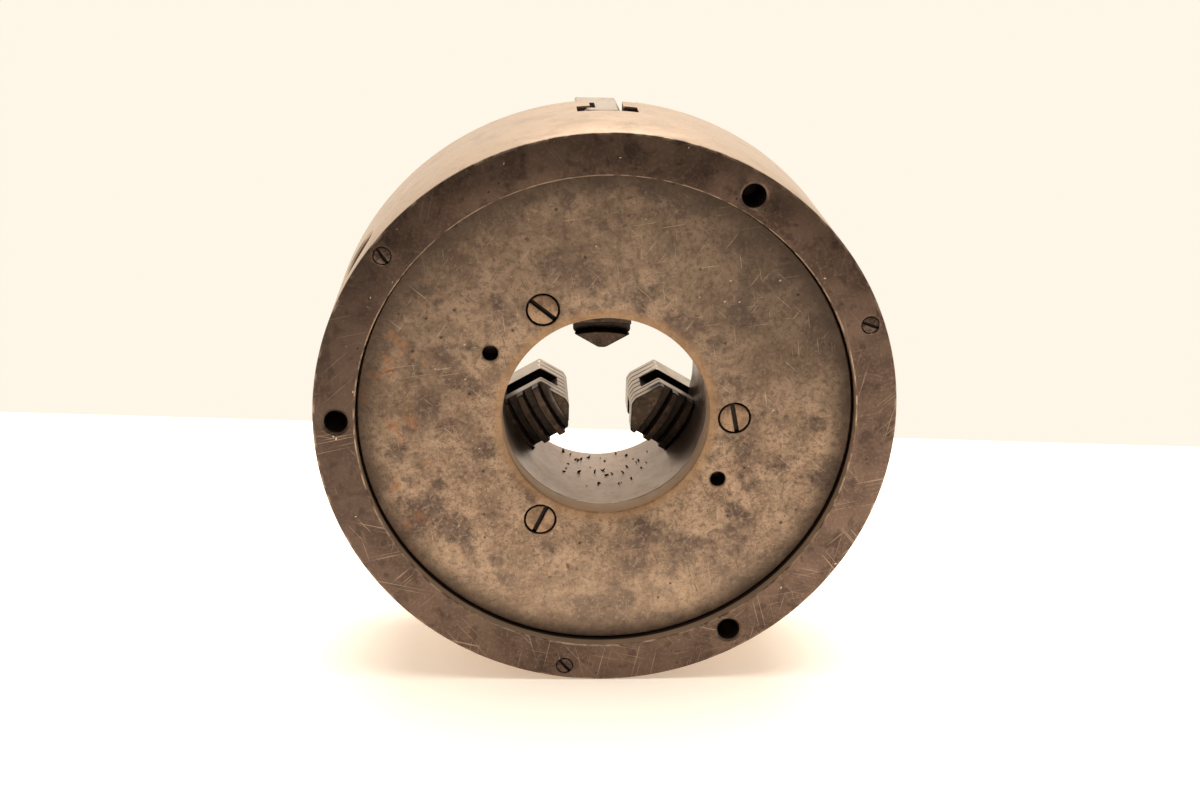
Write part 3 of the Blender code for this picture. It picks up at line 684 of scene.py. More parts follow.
def body_finish():
    """Blackened back rim with scratches and nicks, pale turned sides and bore, painted shade deep in the
    recess and on the bore wall beside the side jaws.
    """
    steel = Finish("blackened_body_steel", 0.75, (195, 172, 151))
    marks = steel.tool_marks(0.5)
    steel.lay(marks, (156, 137, 119), 0.75)
    steel.lay(steel.blotches(13.0, 4.0, 0.50, 0.72), (140, 120, 102), 0.35)
    steel.lay(steel.rise(steel.tool_marks(2.3), 0.56, 0.64), (134, 118, 103), 0.35)
    steel.lay(steel.blotches(1.6, 4.0, 0.60, 0.70, 0.7), (96, 80, 67), 0.45)
    bore = steel.fall(steel.radius, BORE + 0.3, BORE + 0.6)
    steel.lay(bore, (168, 151, 139))
    steel.lay((bore, steel.blotches(3.0, 5.0, 0.45, 0.75)), (140, 124, 113), 0.5)
    # Painted shadow: the bore wall beside and below the two side jaws is darkened, standing in for their
    # shadows and dark reflections.
    aside = steel.rise(steel.calc("ABSOLUTE", steel.right), 30.0, 38.0)
    below = steel.fall(steel.up, -4.0, 6.0)
    steel.lay((bore, aside, below, steel.rise(steel.depth, 20.0, 34.0)), (48, 38, 33), 0.75)
    outside = steel.rise(steel.radius, BORE + 0.6, BORE + 1.6)
    front = steel.both(steel.rise(steel.depth, FRONT - 0.3, FRONT - 0.1), outside)
    steel.lay(front, (158, 153, 147))
    steel.lay((front, steel.rise(steel.tool_marks(1.7), 0.42, 0.62)), (124, 119, 113), 0.65)
    steel.lay((front, steel.blotches(19.0, 5.0, 0.46, 0.66, 0.3)), (112, 96, 82), 0.5)
    steel.lay((front, steel.pits(5.0, 0.05, 0.11, 0.14, 1.0, 2.4, 35.0)), (226, 220, 212), 0.7)
    inside = steel.both(steel.fall(steel.radius, RIM - 1.0, RIM - 0.6),
                        steel.rise(steel.radius, BORE + 0.5, BORE + 1.0))
    steel.lay((inside, steel.fall(steel.depth, FRONT - 1.8, FRONT - 1.4)), (92, 78, 68))
    face = steel.both(steel.fall(steel.depth, 0.3, 1.1), steel.rise(steel.radius, RECESS - 0.3, RECESS))
    steel.lay(face, (108, 88, 76))
    mottle = steel.blotches(16.0, 5.0, 0.36, 0.66)
    steel.lay((face, mottle), (84, 67, 58))
    steel.lay((face, steel.blotches(1.3, 4.0, 0.45, 0.75)), (130, 106, 88), 0.5)
    steel.lay((face, steel.blotches(5.0, 5.0, 0.54, 0.66, 0.4)), (58, 45, 39), 0.5)
    upper_left = steel.both(steel.fall(steel.right, -112.0, -50.0), steel.rise(steel.up, -120.0, -30.0))
    steel.lay((face, upper_left), (52, 40, 34), 0.45)
    lower = steel.ramp(steel.up, -60.0, 70.0, 1.0, 0.25)
    for degrees in (12.0, 48.0, 77.0, 103.0, 139.0, 164.0):
        patch = steel.blotches(26.0, 1.0, 0.50, 0.64, degrees * 0.05)
        steel.lay((face, steel.scratches(degrees, 44.0, 0.55), patch, lower), (176, 152, 132), 0.65)
    for degrees, shift in ((20.0, 0.0), (75.0, 1.5), (130.0, 4.0)):
        steel.lay((face, steel.pits(3.2, 0.04, 0.09, 0.07, shift, 2.6, degrees)), (228, 210, 192))
    steel.lay((face, steel.pits(3.3, 0.07, 0.15, 0.12, 3.0, 1.6, 50.0)), (44, 34, 30))
    recess = steel.both(steel.fall(steel.radius, RECESS + 0.2, RECESS + 0.4),
                        steel.rise(steel.radius, CAVITY - 0.5, CAVITY),
                        steel.fall(steel.depth, SEAT + 0.5, SEAT + 1.5))
    steel.lay((recess, steel.rise(steel.depth, 0.5, 1.0)), (206, 180, 156))
    # Painted shade: the recess wall turns dark where it runs down to the cover.
    steel.lay((recess, steel.rise(steel.depth, 4.4, 5.6)), (66, 53, 46))
    brink = steel.both(steel.fall(steel.radius, RECESS + 0.3, RECESS + 0.7),
                       steel.rise(steel.radius, RECESS - 0.2, RECESS), steel.fall(steel.depth, 0.6, 1.2))
    steel.lay((brink, steel.blotches(5.0, 4.0, 0.36, 0.60, 0.7)), (200, 176, 152), 0.7)
    worn = steel.both(steel.rise(steel.radius, RIM - 1.3, RIM - 0.5), steel.fall(steel.depth, 0.5, 1.2))
    steel.lay((worn, steel.blotches(7.0, 4.0, 0.46, 0.66, 0.3)), (168, 146, 126), 0.8)
    steel.add("gloss", steel.cloud(7.0, 4.0, 0.2), 0.24)
    steel.add("gloss", mottle, -0.06)
    steel.add("relief", marks, 0.02)
    steel.add("relief", steel.cloud(0.8, 3.0), 0.05)
    return steel.done(0.28)


def cover_finish():
    """Mottled tan cover with soft purple-brown stains, pits, rust and a browned bore edge, with painted shade
    and light: darker top, lighter bottom, a dark outer band and nearly black holes.
    """
    steel = Finish("stained_cover_steel", 0.6, (184, 156, 131))
    steel.lay(steel.blotches(18.0, 6.0, 0.40, 0.62, 0.1, 0.6), (140, 115, 96))
    steel.lay(steel.blotches(9.0, 5.0, 0.46, 0.68, 0.8), (122, 107, 86), 0.55)
    crackle = steel.blotches(2.6, 6.0, 0.47, 0.62, 0.6, 0.62)
    steel.lay(crackle, (102, 82, 69), 0.6)
    for size, shift in ((15.0, 0.5), (24.0, 1.3)):
        stain = steel.blotches(size, 3.0, 0.55, 0.67, shift)
        steel.lay(stain, (94, 76, 68), 0.74)
        steel.lay((stain, crackle), (70, 56, 50), 0.4)
    steel.lay(steel.blotches(1.4, 5.0, 0.48, 0.70), (206, 181, 155), 0.32)
    steel.lay(steel.blotches(0.8, 4.0, 0.55, 0.70, 0.9), (78, 62, 53), 0.55)
    # Painted shade and painted light: the cover is darker towards the top and lighter at the bottom, standing
    # in for reflections of the dim room and the bright floor; the three layers after the first also darken it
    # towards the upper right and on the left.
    steel.lay(steel.rise(steel.up, -35.0, 95.0), (78, 66, 56), 0.52)
    steel.lay((steel.rise(steel.right, 5.0, 60.0), steel.rise(steel.up, -20.0, 50.0)), (70, 57, 48), 0.45)
    steel.lay(steel.rise(steel.right, 30.0, 85.0), (70, 57, 48), 0.16)
    steel.lay((steel.fall(steel.right, -85.0, -35.0), steel.rise(steel.up, -50.0, -10.0)), (70, 57, 48), 0.25)
    steel.lay(steel.fall(steel.up, -95.0, -45.0), (220, 194, 168), 0.20)
    rust = (steel.fall(steel.right, -95.0, -55.0), steel.blotches(6.0, 5.0, 0.55, 0.68, 0.2))
    steel.lay(rust, (172, 112, 66), 0.45)
    holes = steel.pits(6.0, 0.06, 0.16, 0.20, 2.0)
    steel.lay(holes, (58, 45, 38), 0.8)
    steel.lay(steel.pits(3.4, 0.06, 0.13, 0.08, 5.0, 1.8, 60.0), (220, 202, 180), 0.6)
    for degrees in (25.0, 70.0, 118.0, 160.0):
        steel.lay(steel.scratches(degrees, 10.0, 0.7, 0.72), (70, 56, 48), 0.55)
        steel.lay(steel.scratches(degrees + 11.0, 16.0, 0.5, 0.73), (208, 186, 162), 0.4)
    bore_edge = (steel.fall(steel.radius, BORE + 1.2, BORE + 6.0), steel.fall(steel.depth, 9.0, 10.0))
    steel.lay(bore_edge, (158, 123, 88), 0.6)
    # Painted shade: a band round the cover's outer edge, below the recess wall, is darkened.
    steel.lay(steel.rise(steel.radius, COVER_RADIUS - 13.0, COVER_RADIUS - 1.0), (66, 54, 46), 0.75)
    bore = (steel.fall(steel.radius, BORE + 0.3, BORE + 0.6), steel.rise(steel.depth, 7.4, 8.0))
    steel.lay(bore, (170, 144, 118))
    steel.lay(steel.rise(steel.depth, 15.6, 16.2), (60, 48, 42), 0.7)
    # Painted shade: every cover surface sunk below its back, the counterbores and holes among them, is made
    # nearly black.
    sunk = (steel.rise(steel.depth, COVER_BACK + 0.3, COVER_BACK + 0.9),
            steel.rise(steel.radius, BORE + 1.5, BORE + 2.0))
    steel.lay(sunk, (30, 24, 21), 0.9)
    steel.add("gloss", steel.cloud(5.0, 4.0, 0.4), 0.30)
    steel.add("relief", steel.tool_marks(0.6), 0.02)
    steel.add("relief", steel.cloud(1.1, 4.0, 0.3), 0.07)
    steel.add("relief", holes, -0.2)
    return steel.done(0.36)


def jaw_finish():
    """Dark oily toothed back whose crests are lighter from wear and a painted highlight, pale ground sides
    and V faces, painted shade in the side grooves and serration notches.
    """
    steel = Finish("oily_jaw_steel", 0.8, (184, 172, 161))
    steel.lay(steel.blotches(9.0, 5.0, 0.40, 0.74), (146, 132, 119), 0.7)
    steel.lay(steel.blotches(2.4, 5.0, 0.52, 0.70, 0.5), (112, 98, 86), 0.35)
    steel.lay(steel.cloud((60.0, 0.5, 60.0), 2.0), (140, 126, 112), 0.4)
    from_first = steel.calc("SUBTRACT", steel.depth, SERRATIONS[0])
    from_nearest = steel.calc("PINGPONG", from_first, SERRATIONS.step / 2.0)
    # Painted shade: the serration notches near the tip are darkened.
    notches = (steel.fall(from_nearest, 0.15, 0.6), steel.fall(steel.radius, 25.0, 27.0))
    steel.lay(notches, (58, 47, 40), 0.7)
    teeth = steel.both(steel.fall(steel.depth, TOOTH_ROOT + 0.2, TOOTH_ROOT + 1.6),
                       steel.rise(steel.radius, 21.0, 25.0))
    steel.lay(teeth, (56, 47, 41))
    steel.lay((teeth, steel.blotches(2.5, 4.0, 0.45, 0.7)), (38, 32, 28), 0.8)
    # Painted shade: the side grooves, where the body's rails run, are made nearly black, with a dark line
    # along their edges.
    groove = (steel.rise(steel.depth, GROOVE[0] - 0.3, GROOVE[0] - 0.05),
              steel.fall(steel.depth, GROOVE[1] + 0.05, GROOVE[1] + 0.3),
              steel.fall(steel.radius, 121.0, 122.0), steel.rise(steel.radius, 20.0, 20.4))
    steel.lay(groove, (22, 18, 16), 0.93)
    # Tooth crests lighter than the gaps: partly worn metal, partly a painted highlight, with painted shade
    # left in the gaps.
    crest = steel.fall(steel.depth, TOOTH_CREST + 0.15, TOOTH_CREST + 0.45)
    steel.lay(crest, (66, 53, 44))
    steel.lay((crest, steel.blotches(2.2, 4.0, 0.48, 0.68, 0.3)), (98, 80, 64), 0.6)
    steel.lay((crest, steel.blotches(4.0, 4.0, 0.52, 0.64, 0.9)), (44, 36, 31), 0.8)
    steel.add("gloss", steel.cloud(4.0, 4.0, 0.4), 0.26)
    steel.add("relief", steel.cloud(0.9, 3.0), 0.05)
    return steel.done(0.24)


def machined_finish(name, light, dark, roughness):
    """Clean turned or cut steel with a little oil staining."""
    steel = Finish(name, 0.85, light)
    steel.lay(steel.cloud(3.0, 4.0), dark, 0.8)
    marks = steel.tool_marks(0.4)
    steel.lay(marks, dark, 0.35)
    steel.lay(steel.blotches(1.4, 3.0, 0.58, 0.72, 0.4), (64, 50, 40), 0.5)
    steel.add("gloss", steel.cloud(2.2, 3.0, 0.2), 0.24)
    steel.add("relief", marks, 0.02)
    return steel.done(roughness)


def screw_finish(name):
    """Slotted screws in the cover's own tones, with painted shade inside the slot and down the side of the
    head.
    """
    steel = Finish(name, 0.65, (164, 136, 110))
    steel.lay(steel.blotches(3.5, 4.0, 0.40, 0.62), (118, 94, 76), 0.8)
    steel.lay(steel.blotches(0.9, 4.0, 0.50, 0.68, 0.9), (84, 66, 54), 0.5)
    # Painted shade: the slot and the side of the head down in the counterbore are made nearly black.
    steel.lay(steel.rise(steel.depth, COVER_BACK + 0.45, COVER_BACK + 0.8), (24, 19, 17), 0.95)
    steel.add("gloss", steel.cloud(2.0, 4.0, 0.4), 0.30)
    steel.add("relief", steel.cloud(0.6, 4.0, 0.3), 0.07)
    return steel.done(0.34)


def plug_finish(name):
    """Brown slotted plugs, with painted shade making the slot nearly black."""
    steel = Finish(name, 0.7, (96, 78, 68))
    steel.lay(steel.blotches(1.2, 3.0, 0.45, 0.62), (58, 46, 40))
    # Painted shade: the slot's lower walls and floor, and the plug's side, are made nearly black.
    steel.lay(steel.rise(steel.depth, 0.9, 1.4), (28, 22, 20), 0.9)
    steel.add("relief", steel.cloud(0.5, 3.0), 0.05)
    return steel.done(0.42)


def swarf_finish():
    steel = Finish("oily_swarf", 0.7, (24, 19, 16))
    steel.lay(steel.blotches(0.8, 2.0, 0.58, 0.66), (104, 84, 66), 0.4)
    return steel.done(0.40)


# Body and cover --------------------

def slot_tool():
    """Tool along X for a jaw slot with its two rails; the outline has x across it and y the depth."""
    corner = RAIL_HALF + RAIL_EDGE
    half = [
        (SLOT_HALF, SLOT_FLOOR), (SLOT_HALF, RAIL[0]), (corner, RAIL[0]), (RAIL_HALF, RAIL[0] + RAIL_EDGE),
        (RAIL_HALF, RAIL[1] - RAIL_EDGE), (corner, RAIL[1]), (SLOT_HALF, RAIL[1]),
        (SLOT_HALF, FRONT - SLOT_MOUTH), (SLOT_HALF + 1.3, FRONT + 0.6),
    ]
    outline = half + [(-x, depth) for x, depth in reversed(half)]
    tool = lofted([(radius, outline) for radius in SLOT_REACH])
    tool.transform(Matrix(((0, 0, 1, 0), (1, 0, 0, 0), (0, -1, 0, 0), (0, 0, 0, 1))))
    return cleaned(tool)


def plain_hole(radius, ends):
    return [(0, ends[0]), (radius, ends[0]), (radius, ends[1]), (0, ends[1])]


def hole_tools(holes, steps):
    """A round tool at every place of each (angles, circle, profile) row."""
    tools = []
    for angles, circle, profile in holes:
        tool = turned(at_depths(profile), steps)
        tools += [moved(tool, spoke(angle, circle)) for angle in angles]
    return tools


def chuck_body():
    lip, rest = FRONT_EDGE_MIDDLE
    profile = at_depths([
        (RIM - RIM_EDGE, 0.0), (RIM - RIM_EDGE_MIDDLE, RIM_EDGE_MIDDLE), (RIM, RIM_EDGE),
        (RIM, FRONT - FRONT_EDGE), (RIM - lip, FRONT - rest), (RIM - FRONT_EDGE, FRONT),
        (BORE + FRONT_EDGE, FRONT), (BORE, FRONT - FRONT_EDGE), (BORE, SEAT + SEAT_EDGE),
        (BORE + SEAT_EDGE, SEAT), (HUB, SEAT), (HUB, PLATE), (CAVITY, PLATE), (CAVITY, SEAT),
        (RECESS - RECESS_EDGE, SEAT),
        (RECESS, SEAT - RECESS_EDGE), (RECESS, RECESS_EDGE), (RECESS + RECESS_EDGE, 0.0),
    ])
    inner, outer = PINION_HOLE_REACH
    mouth = PINION_HOLE + PINION_HOLE_MOUTH
    seat = turned([
        (0.0, outer), (mouth, outer), (mouth, PINION_HOLE_MOUTH_TOP),
        (PINION_HOLE, PINION_HOLE_MOUTH_TOP - PINION_HOLE_MOUTH), (PINION_HOLE, inner), (0.0, inner),
    ], 64)
    spigot = turned(list(reversed(plain_hole(SPIGOT_HOLE, SPIGOT_HOLE_REACH))), 32)
    tools = [moved(slot_tool(), spoke(angle)) for angle in JAW_ANGLES]
    for angle in PINION_ANGLES:
        tools += [moved(seat, along_spoke(angle)), moved(spigot, along_spoke(angle))]
    mount = [(0, -OVER), (MOUNT_HOLE + 1.0, -OVER), (MOUNT_HOLE + 1.0, 0), (MOUNT_HOLE, 0.8),
             (MOUNT_HOLE, MOUNT_HOLE_FLOOR), (0, MOUNT_HOLE_FLOOR + MOUNT_HOLE_POINT)]
    pin = [(0, -OVER), (PIN_HOLE + 0.25, -OVER), (PIN_HOLE + 0.25, 0), (PIN_HOLE, 0.25),
           (PIN_HOLE, PIN_HOLE_FLOOR), (0, PIN_HOLE_FLOOR)]
    tools += hole_tools((
        (MOUNT_ANGLES, MOUNT_CIRCLE, mount),
        (PIN_ANGLES, PIN_CIRCLE, pin),
        (SCREW_ANGLES, SCREW_CIRCLE, plain_hole(SCREW_HOLE, SCREW_HOLE_ENDS)),
        (DOWEL_ANGLES, SCREW_CIRCLE, plain_hole(DOWEL_HOLE, DOWEL_HOLE_ENDS)),
    ), 40)
    mesh = cut(turned(profile, DISC_STEPS), tools)
    fitted("chuck_body_turned", mesh, body_finish(), "chuck", ["chuck_body"])


def cover_plate():
    top = COVER_BACK
    profile = at_depths([
        (COVER_RADIUS - COVER_EDGE, top), (COVER_RADIUS, top + COVER_EDGE), (COVER_RADIUS, COVER_INNER),
        (BOSS[1], COVER_INNER), (BOSS[1], BOSS_DEPTH), (BOSS[0], BOSS_DEPTH), (BOSS[0], COVER_INNER),
        (BORE + SEAT_EDGE, COVER_INNER), (BORE, COVER_INNER - SEAT_EDGE), (BORE, top + COVER_BORE_EDGE),
        (BORE + COVER_BORE_EDGE_MIDDLE, top + COVER_BORE_EDGE_MIDDLE), (BORE + COVER_BORE_EDGE, top),
    ])
    across = rectangle(9.0, CHANNEL_HALF, (BOSS[0] + BOSS[1]) / 2.0)
    channel = lofted([(-BOSS_DEPTH - 2.0, across), (-PINION_DEPTH + CHANNEL_HALF, across)])
    tools = [moved(channel, spoke(angle)) for angle in PINION_ANGLES]
    ledge = top + COUNTERBORE_DEPTH
    screw = [(0, top - OVER), (COUNTERBORE + 0.2, top - OVER), (COUNTERBORE + 0.2, top),
             (COUNTERBORE, top + 0.3), (COUNTERBORE, ledge), (SCREW_HOLE, ledge),
             (SCREW_HOLE, BELOW_COVER), (0, BELOW_COVER)]
    jack = [(0, top - OVER), (JACK_HOLE + 0.8, top - OVER), (JACK_HOLE + 0.8, top), (JACK_HOLE, top + 0.7),
            (JACK_HOLE, BELOW_COVER), (0, BELOW_COVER)]
    tools += hole_tools((
        (SCREW_ANGLES, SCREW_CIRCLE, screw),
        (JACK_ANGLES, JACK_CIRCLE, jack),
        (DOWEL_ANGLES, SCREW_CIRCLE, plain_hole(DOWEL_HOLE, (DOWEL_HOLE_ENDS[0], BELOW_COVER))),
    ), 48)
    mesh = cut(turned(profile, DISC_STEPS), tools)
    fitted("cover_plate_turned", mesh, cover_finish(), "chuck", ["cover_plate"])


# Scroll and pinions --------------------

def scroll_tooth():
    """One straight-sided bevel tooth along +X, tapering towards the chuck's axis."""
    rise = SCROLL_TOOTH_RISE * MODULE
    sink = SCROLL_TOOTH_SINK * MODULE
    half_pitch = math.pi * MODULE / 4.0 - BACKLASH / 2.0 / FACE[1]
    lean = math.tan(PRESSURE_ANGLE)
    tip = half_pitch - rise * lean
    root = half_pitch + sink * lean
    high, low = PITCH_SLOPE - rise, PITCH_SLOPE + sink
    section = [(tip, high), (-tip, high), (-root, low), (root, low)]
    bm = bmesh.new()
    ends = []
    for radius in (FACE[0], FACE[1] - 1.0):
        ends.append([bm.verts.new((radius, y * radius, -PINION_DEPTH - d * radius)) for y, d in section])
    for end in ends:
        bm.faces.new(end)
    bmesh.ops.bridge_loops(bm, edges=bm.edges)
    bmesh.ops.recalc_face_normals(bm, faces=bm.faces)
    return mesh_of(bm, "scroll_tooth")


def root_depth(radius):
    return PINION_DEPTH + radius * (PITCH_SLOPE + SCROLL_ROOT * MODULE)


def ridge_section():
    """Section of the spiral ridge: x radial and y axial, from just inside the disc to the top."""
    half = RIDGE_WIDTH / 2.0
    tall = RIDGE_TOP - GROOVE_FLOOR
    right = [(half, -RIDGE_SUNK), (half, tall - RIDGE_EDGE), (half - RIDGE_EDGE, tall)]
    left = [(-x, y) for x, y in reversed(right)]
    return closed_outline([(x, -y, 0.0) for x, y in left[-1:] + right + left[:-1]])


def scroll_plate(repeat, wound):
    start = FACE[0] - 1.2
    edge = root_depth(SCROLL_RADIUS)
    disc = turned(at_depths([
        (SCROLL_RADIUS - SCROLL_EDGE, edge), (SCROLL_RADIUS, edge + SCROLL_EDGE),
        (SCROLL_RADIUS, GROOVE_FLOOR - SCROLL_EDGE), (SCROLL_RADIUS - SCROLL_EDGE, GROOVE_FLOOR),
        (SCROLL_BORE, GROOVE_FLOOR), (SCROLL_BORE, SCROLL_LAND), (start - 1.0, SCROLL_LAND),
        (start, root_depth(start)),
    ]))
    finish = machined_finish("ground_scroll_steel", (176, 166, 154), (120, 108, 96), 0.24)
    outer, inner = RIDGE_RADII
    ridge = grown(wound, ridge_section(), Start_Radius=outer, End_Radius=inner,
                  Start_Height=-GROOVE_FLOOR, End_Height=-GROOVE_FLOOR,
                  Start_Angle=math.radians(RIDGE_OUTER_END), Turns=(outer - inner) / PITCH,
                  Steps=RIDGE_STEPS, Finish=finish)
    teeth = grown(repeat, scroll_tooth(), Count=SCROLL_TEETH, Finish=finish)
    teeth.transform(spoke(PINION_ANGLES[0]))
    mesh = cut(disc, [cleaned(ridge), cleaned(teeth)], "UNION")
    fitted("scroll_plate_cut", mesh, finish, "scroll", ["scroll_plate"])


def pinion_tooth():
    """One involute tooth of the bevel pinion, reaching into the core, along Z."""
    base = PITCH_SLOPE * math.cos(PRESSURE_ANGLE)
    tip = PITCH_SLOPE + PINION_TOOTH_RISE * MODULE
    root = PITCH_SLOPE - PINION_TOOTH_ROOT * MODULE
    at_pitch = math.tan(PRESSURE_ANGLE) - PRESSURE_ANGLE
    half = TURN / PINION_TEETH / 4.0 - BACKLASH / 2.0 / FACE[1] / PITCH_SLOPE
    flank_points = [(root, 0.0)]
    for i in range(6):
        radius = base + (tip - base) * i / 5.0
        roll = math.sqrt(max((radius / base) ** 2 - 1.0, 0.0))
        flank_points.append((radius, roll - math.atan(roll)))
    centre = TURN * 0.5 / PINION_TEETH - math.pi / 2.0
    sides = [(r, centre - half - at_pitch + a) for r, a in flank_points]
    sides += [(r, centre + half + at_pitch - a) for r, a in reversed(flank_points)]
    outline = [(r * math.cos(a), r * math.sin(a)) for r, a in sides]
    return lofted([(z, [(x * z, y * z) for x, y in outline]) for z in FACE])


def pinions(repeat):
    core = turned([
        (0.0, PINION_END), (PINION_NECK - PINION_NECK_EDGE, PINION_END),
        (PINION_NECK, PINION_END - PINION_NECK_EDGE), (PINION_NECK, PINION_SHOULDER),
        (JOURNAL - JOURNAL_EDGE, PINION_SHOULDER), (JOURNAL, PINION_SHOULDER - JOURNAL_EDGE),
        (JOURNAL, JOURNAL_INNER + JOURNAL_EDGE), (JOURNAL - JOURNAL_EDGE, JOURNAL_INNER),
        (TOOTH_CORE[1] + 0.1, JOURNAL_INNER), (TOOTH_CORE[1], FACE[1]), (TOOTH_CORE[0], FACE[0]),
        (SPIGOT, FACE[0] - 0.6), (SPIGOT, SPIGOT_END + SPIGOT_EDGE), (SPIGOT - SPIGOT_EDGE, SPIGOT_END),
        (0.0, SPIGOT_END),
    ], 64)
    square = rectangle(KEY_HALF, KEY_HALF)
    mouth = rectangle(KEY_HALF + KEY_MOUTH + OVER, KEY_HALF + KEY_MOUTH + OVER)
    socket = lofted([(KEY_FLOOR, square), (PINION_END - KEY_MOUTH, square), (PINION_END + OVER, mouth)])
    for number, angle in enumerate(PINION_ANGLES, start=1):
        finish = machined_finish("pinion_steel_%d" % number, (150, 134, 116), (88, 74, 62), 0.28)
        teeth = grown(repeat, pinion_tooth(), Count=PINION_TEETH, Finish=finish)
        mesh = cut(cut(core.copy(), [cleaned(teeth)], "UNION"), [socket.copy()])
        mesh.transform(along_spoke(angle))
        name = "pinion_%d" % number
        fitted(name + "_cut", mesh, finish, name, [name])


# Screws, plugs, pins and dowels --------------------

def thread(wound, finish):
    """The cover screw's helical thread ridge, standing on its core."""
    top, bottom = THREAD_ENDS
    crest, root_half, crest_half = (share * THREAD_STEP for share in (0.45, 0.42, 0.06))
    section = closed_outline([(-THREAD_SUNK, -root_half, 0.0), (crest, -crest_half, 0.0),
                              (crest, crest_half, 0.0), (-THREAD_SUNK, root_half, 0.0)])
    turns = (bottom - top) / THREAD_STEP
    return grown(wound, section, Start_Radius=THREAD_RADIUS, End_Radius=THREAD_RADIUS, Start_Height=-top,
                 End_Height=-bottom, Start_Angle=0.0, Turns=turns, Steps=int(turns * THREAD_TURN_STEPS),
                 Finish=finish)


def slot_cut(slot, rim, degrees):
    """Tool for a screwdriver slot with slightly worn lips, in a head whose top is at depth rim."""
    half_length, half_width, depth = slot
    narrow = rectangle(half_length, half_width)
    wide = rectangle(half_length, half_width + SLOT_LIP_WIDENING)
    tool = lofted([(-rim - depth, narrow), (-rim - SLOT_LIP, narrow), (-rim + 0.5, wide)])
    return moved(tool, Matrix.Rotation(math.radians(degrees), 4, "Z"))


def at_place(mesh, angle, circle):
    """The mesh carried to its place without a turn, so its slot keeps its direction."""
    return moved(mesh, Matrix.Translation(spoke(angle, circle).translation))


def cover_screws(wound):
    head = COVER_BACK + 0.2
    under = head + SCREW_HEAD_HEIGHT
    profile = at_depths([
        (0.0, head), (SCREW_HEAD - 0.43, head), (SCREW_HEAD - 0.08, head + 0.2), (SCREW_HEAD, head + 0.5),
        (SCREW_HEAD, under), (SCREW_SHANK + 0.1, under), (SCREW_SHANK, SCREW_END - SCREW_POINT),
        (SCREW_SHANK - 0.6, SCREW_END), (0.0, SCREW_END),
    ])
    for number, angle in enumerate(SCREW_ANGLES, start=1):
        finish = screw_finish("cover_screw_steel_%d" % number)
        blank = cut(turned(profile, 48), [slot_cut(SCREW_SLOT, head, SCREW_SLOTS[number - 1])])
        mesh = joined([blank, cleaned(thread(wound, finish))])
        name = "cover_screw_%d" % number
        fitted(name + "_slotted", at_place(mesh, angle, SCREW_CIRCLE), finish, "chuck", [name])


def ground_pin(radius, ends, edge, middle):
    """A plain round pin with rounded ends, each corner drawn as two small flats."""
    top, end = ends
    half = [(radius - edge, 0.0), (radius - middle, 0.2), (radius, edge)]
    profile = [(0.0, top)] + [(r, top + d) for r, d in half]
    profile += [(r, end - d) for r, d in reversed(half)] + [(0.0, end)]
    return turned(at_depths(profile), 40)


def pinion_pins():
    top, end = PLUG_ENDS
    plug_profile = at_depths([
        (0.0, top), (PLUG_RADIUS - 0.45, top), (PLUG_RADIUS - 0.1, top + 0.15), (PLUG_RADIUS, top + 0.5),
        (PLUG_RADIUS, end - 0.4), (PLUG_RADIUS - 0.35, end), (0.0, end),
    ])
    for number, angle in enumerate(PIN_ANGLES, start=1):
        finish = machined_finish("pin_steel_%d" % number, (170, 160, 150), (120, 110, 100), 0.22)
        pin = at_place(ground_pin(PIN_RADIUS, PIN_ENDS, 0.6, 0.15), angle, PIN_CIRCLE)
        name = "pinion_pin_%d" % number
        fitted(name + "_ground", pin, finish, "chuck", [name])
        finish = plug_finish("plug_steel_%d" % number)
        plug = cut(turned(plug_profile, 40), [slot_cut(PLUG_SLOT, top, PLUG_SLOTS[number - 1])])
        name = "pin_plug_screw_%d" % number
        fitted(name + "_slotted", at_place(plug, angle, PIN_CIRCLE), finish, "chuck", [name])


def dowels():
    for number, angle in enumerate(DOWEL_ANGLES, start=1):
        finish = machined_finish("dowel_steel_%d" % number, (186, 178, 168), (140, 130, 120), 0.20)
        dowel = at_place(ground_pin(DOWEL_RADIUS, DOWEL_ENDS, 0.5, 0.1), angle, SCREW_CIRCLE)
        name = "cover_dowel_%d" % number
        fitted(name + "_ground", dowel, finish, "chuck", [name])


# Jaws --------------------

def jaw_plan(shift):
    """Plan of a jaw, x outwards and y across; shift sets the V faces back for a serration."""
    tip = JAW_TIP + shift / math.sin(TIP_SLOPE)
    shoulder = tip + (JAW_HALF - TIP_FLAT_HALF) / math.tan(TIP_SLOPE)
    plan = [
        (tip, TIP_FLAT_HALF), (tip, -TIP_FLAT_HALF), (shoulder, -JAW_HALF),
        (JAW_END - JAW_TAIL_BEVEL, -JAW_HALF), (JAW_END, -JAW_TAIL_CORNER), (JAW_END, JAW_HALF),
        (shoulder, JAW_HALF),
    ]
    return corners_cut(plan, JAW_CORNER)


def jaw_blank():
    """Jaw without teeth: serrated V faces, broken edges at both ends."""
    plan = jaw_plan(0.0)
    levels = [(TOOTH_CREST, inset(plan, JAW_BACK_EDGE)), (TOOTH_CREST + JAW_BACK_EDGE, plan)]
    for depth in SERRATIONS:
        notch = jaw_plan(SERRATION_HALF)
        levels += [(depth - SERRATION_HALF, plan), (depth, notch), (depth + SERRATION_HALF, plan)]
    levels += [(JAW_FRONT - JAW_CORNER, plan), (JAW_FRONT, inset(plan, JAW_CORNER))]
    return lofted([(-depth, outline) for depth, outline in levels])


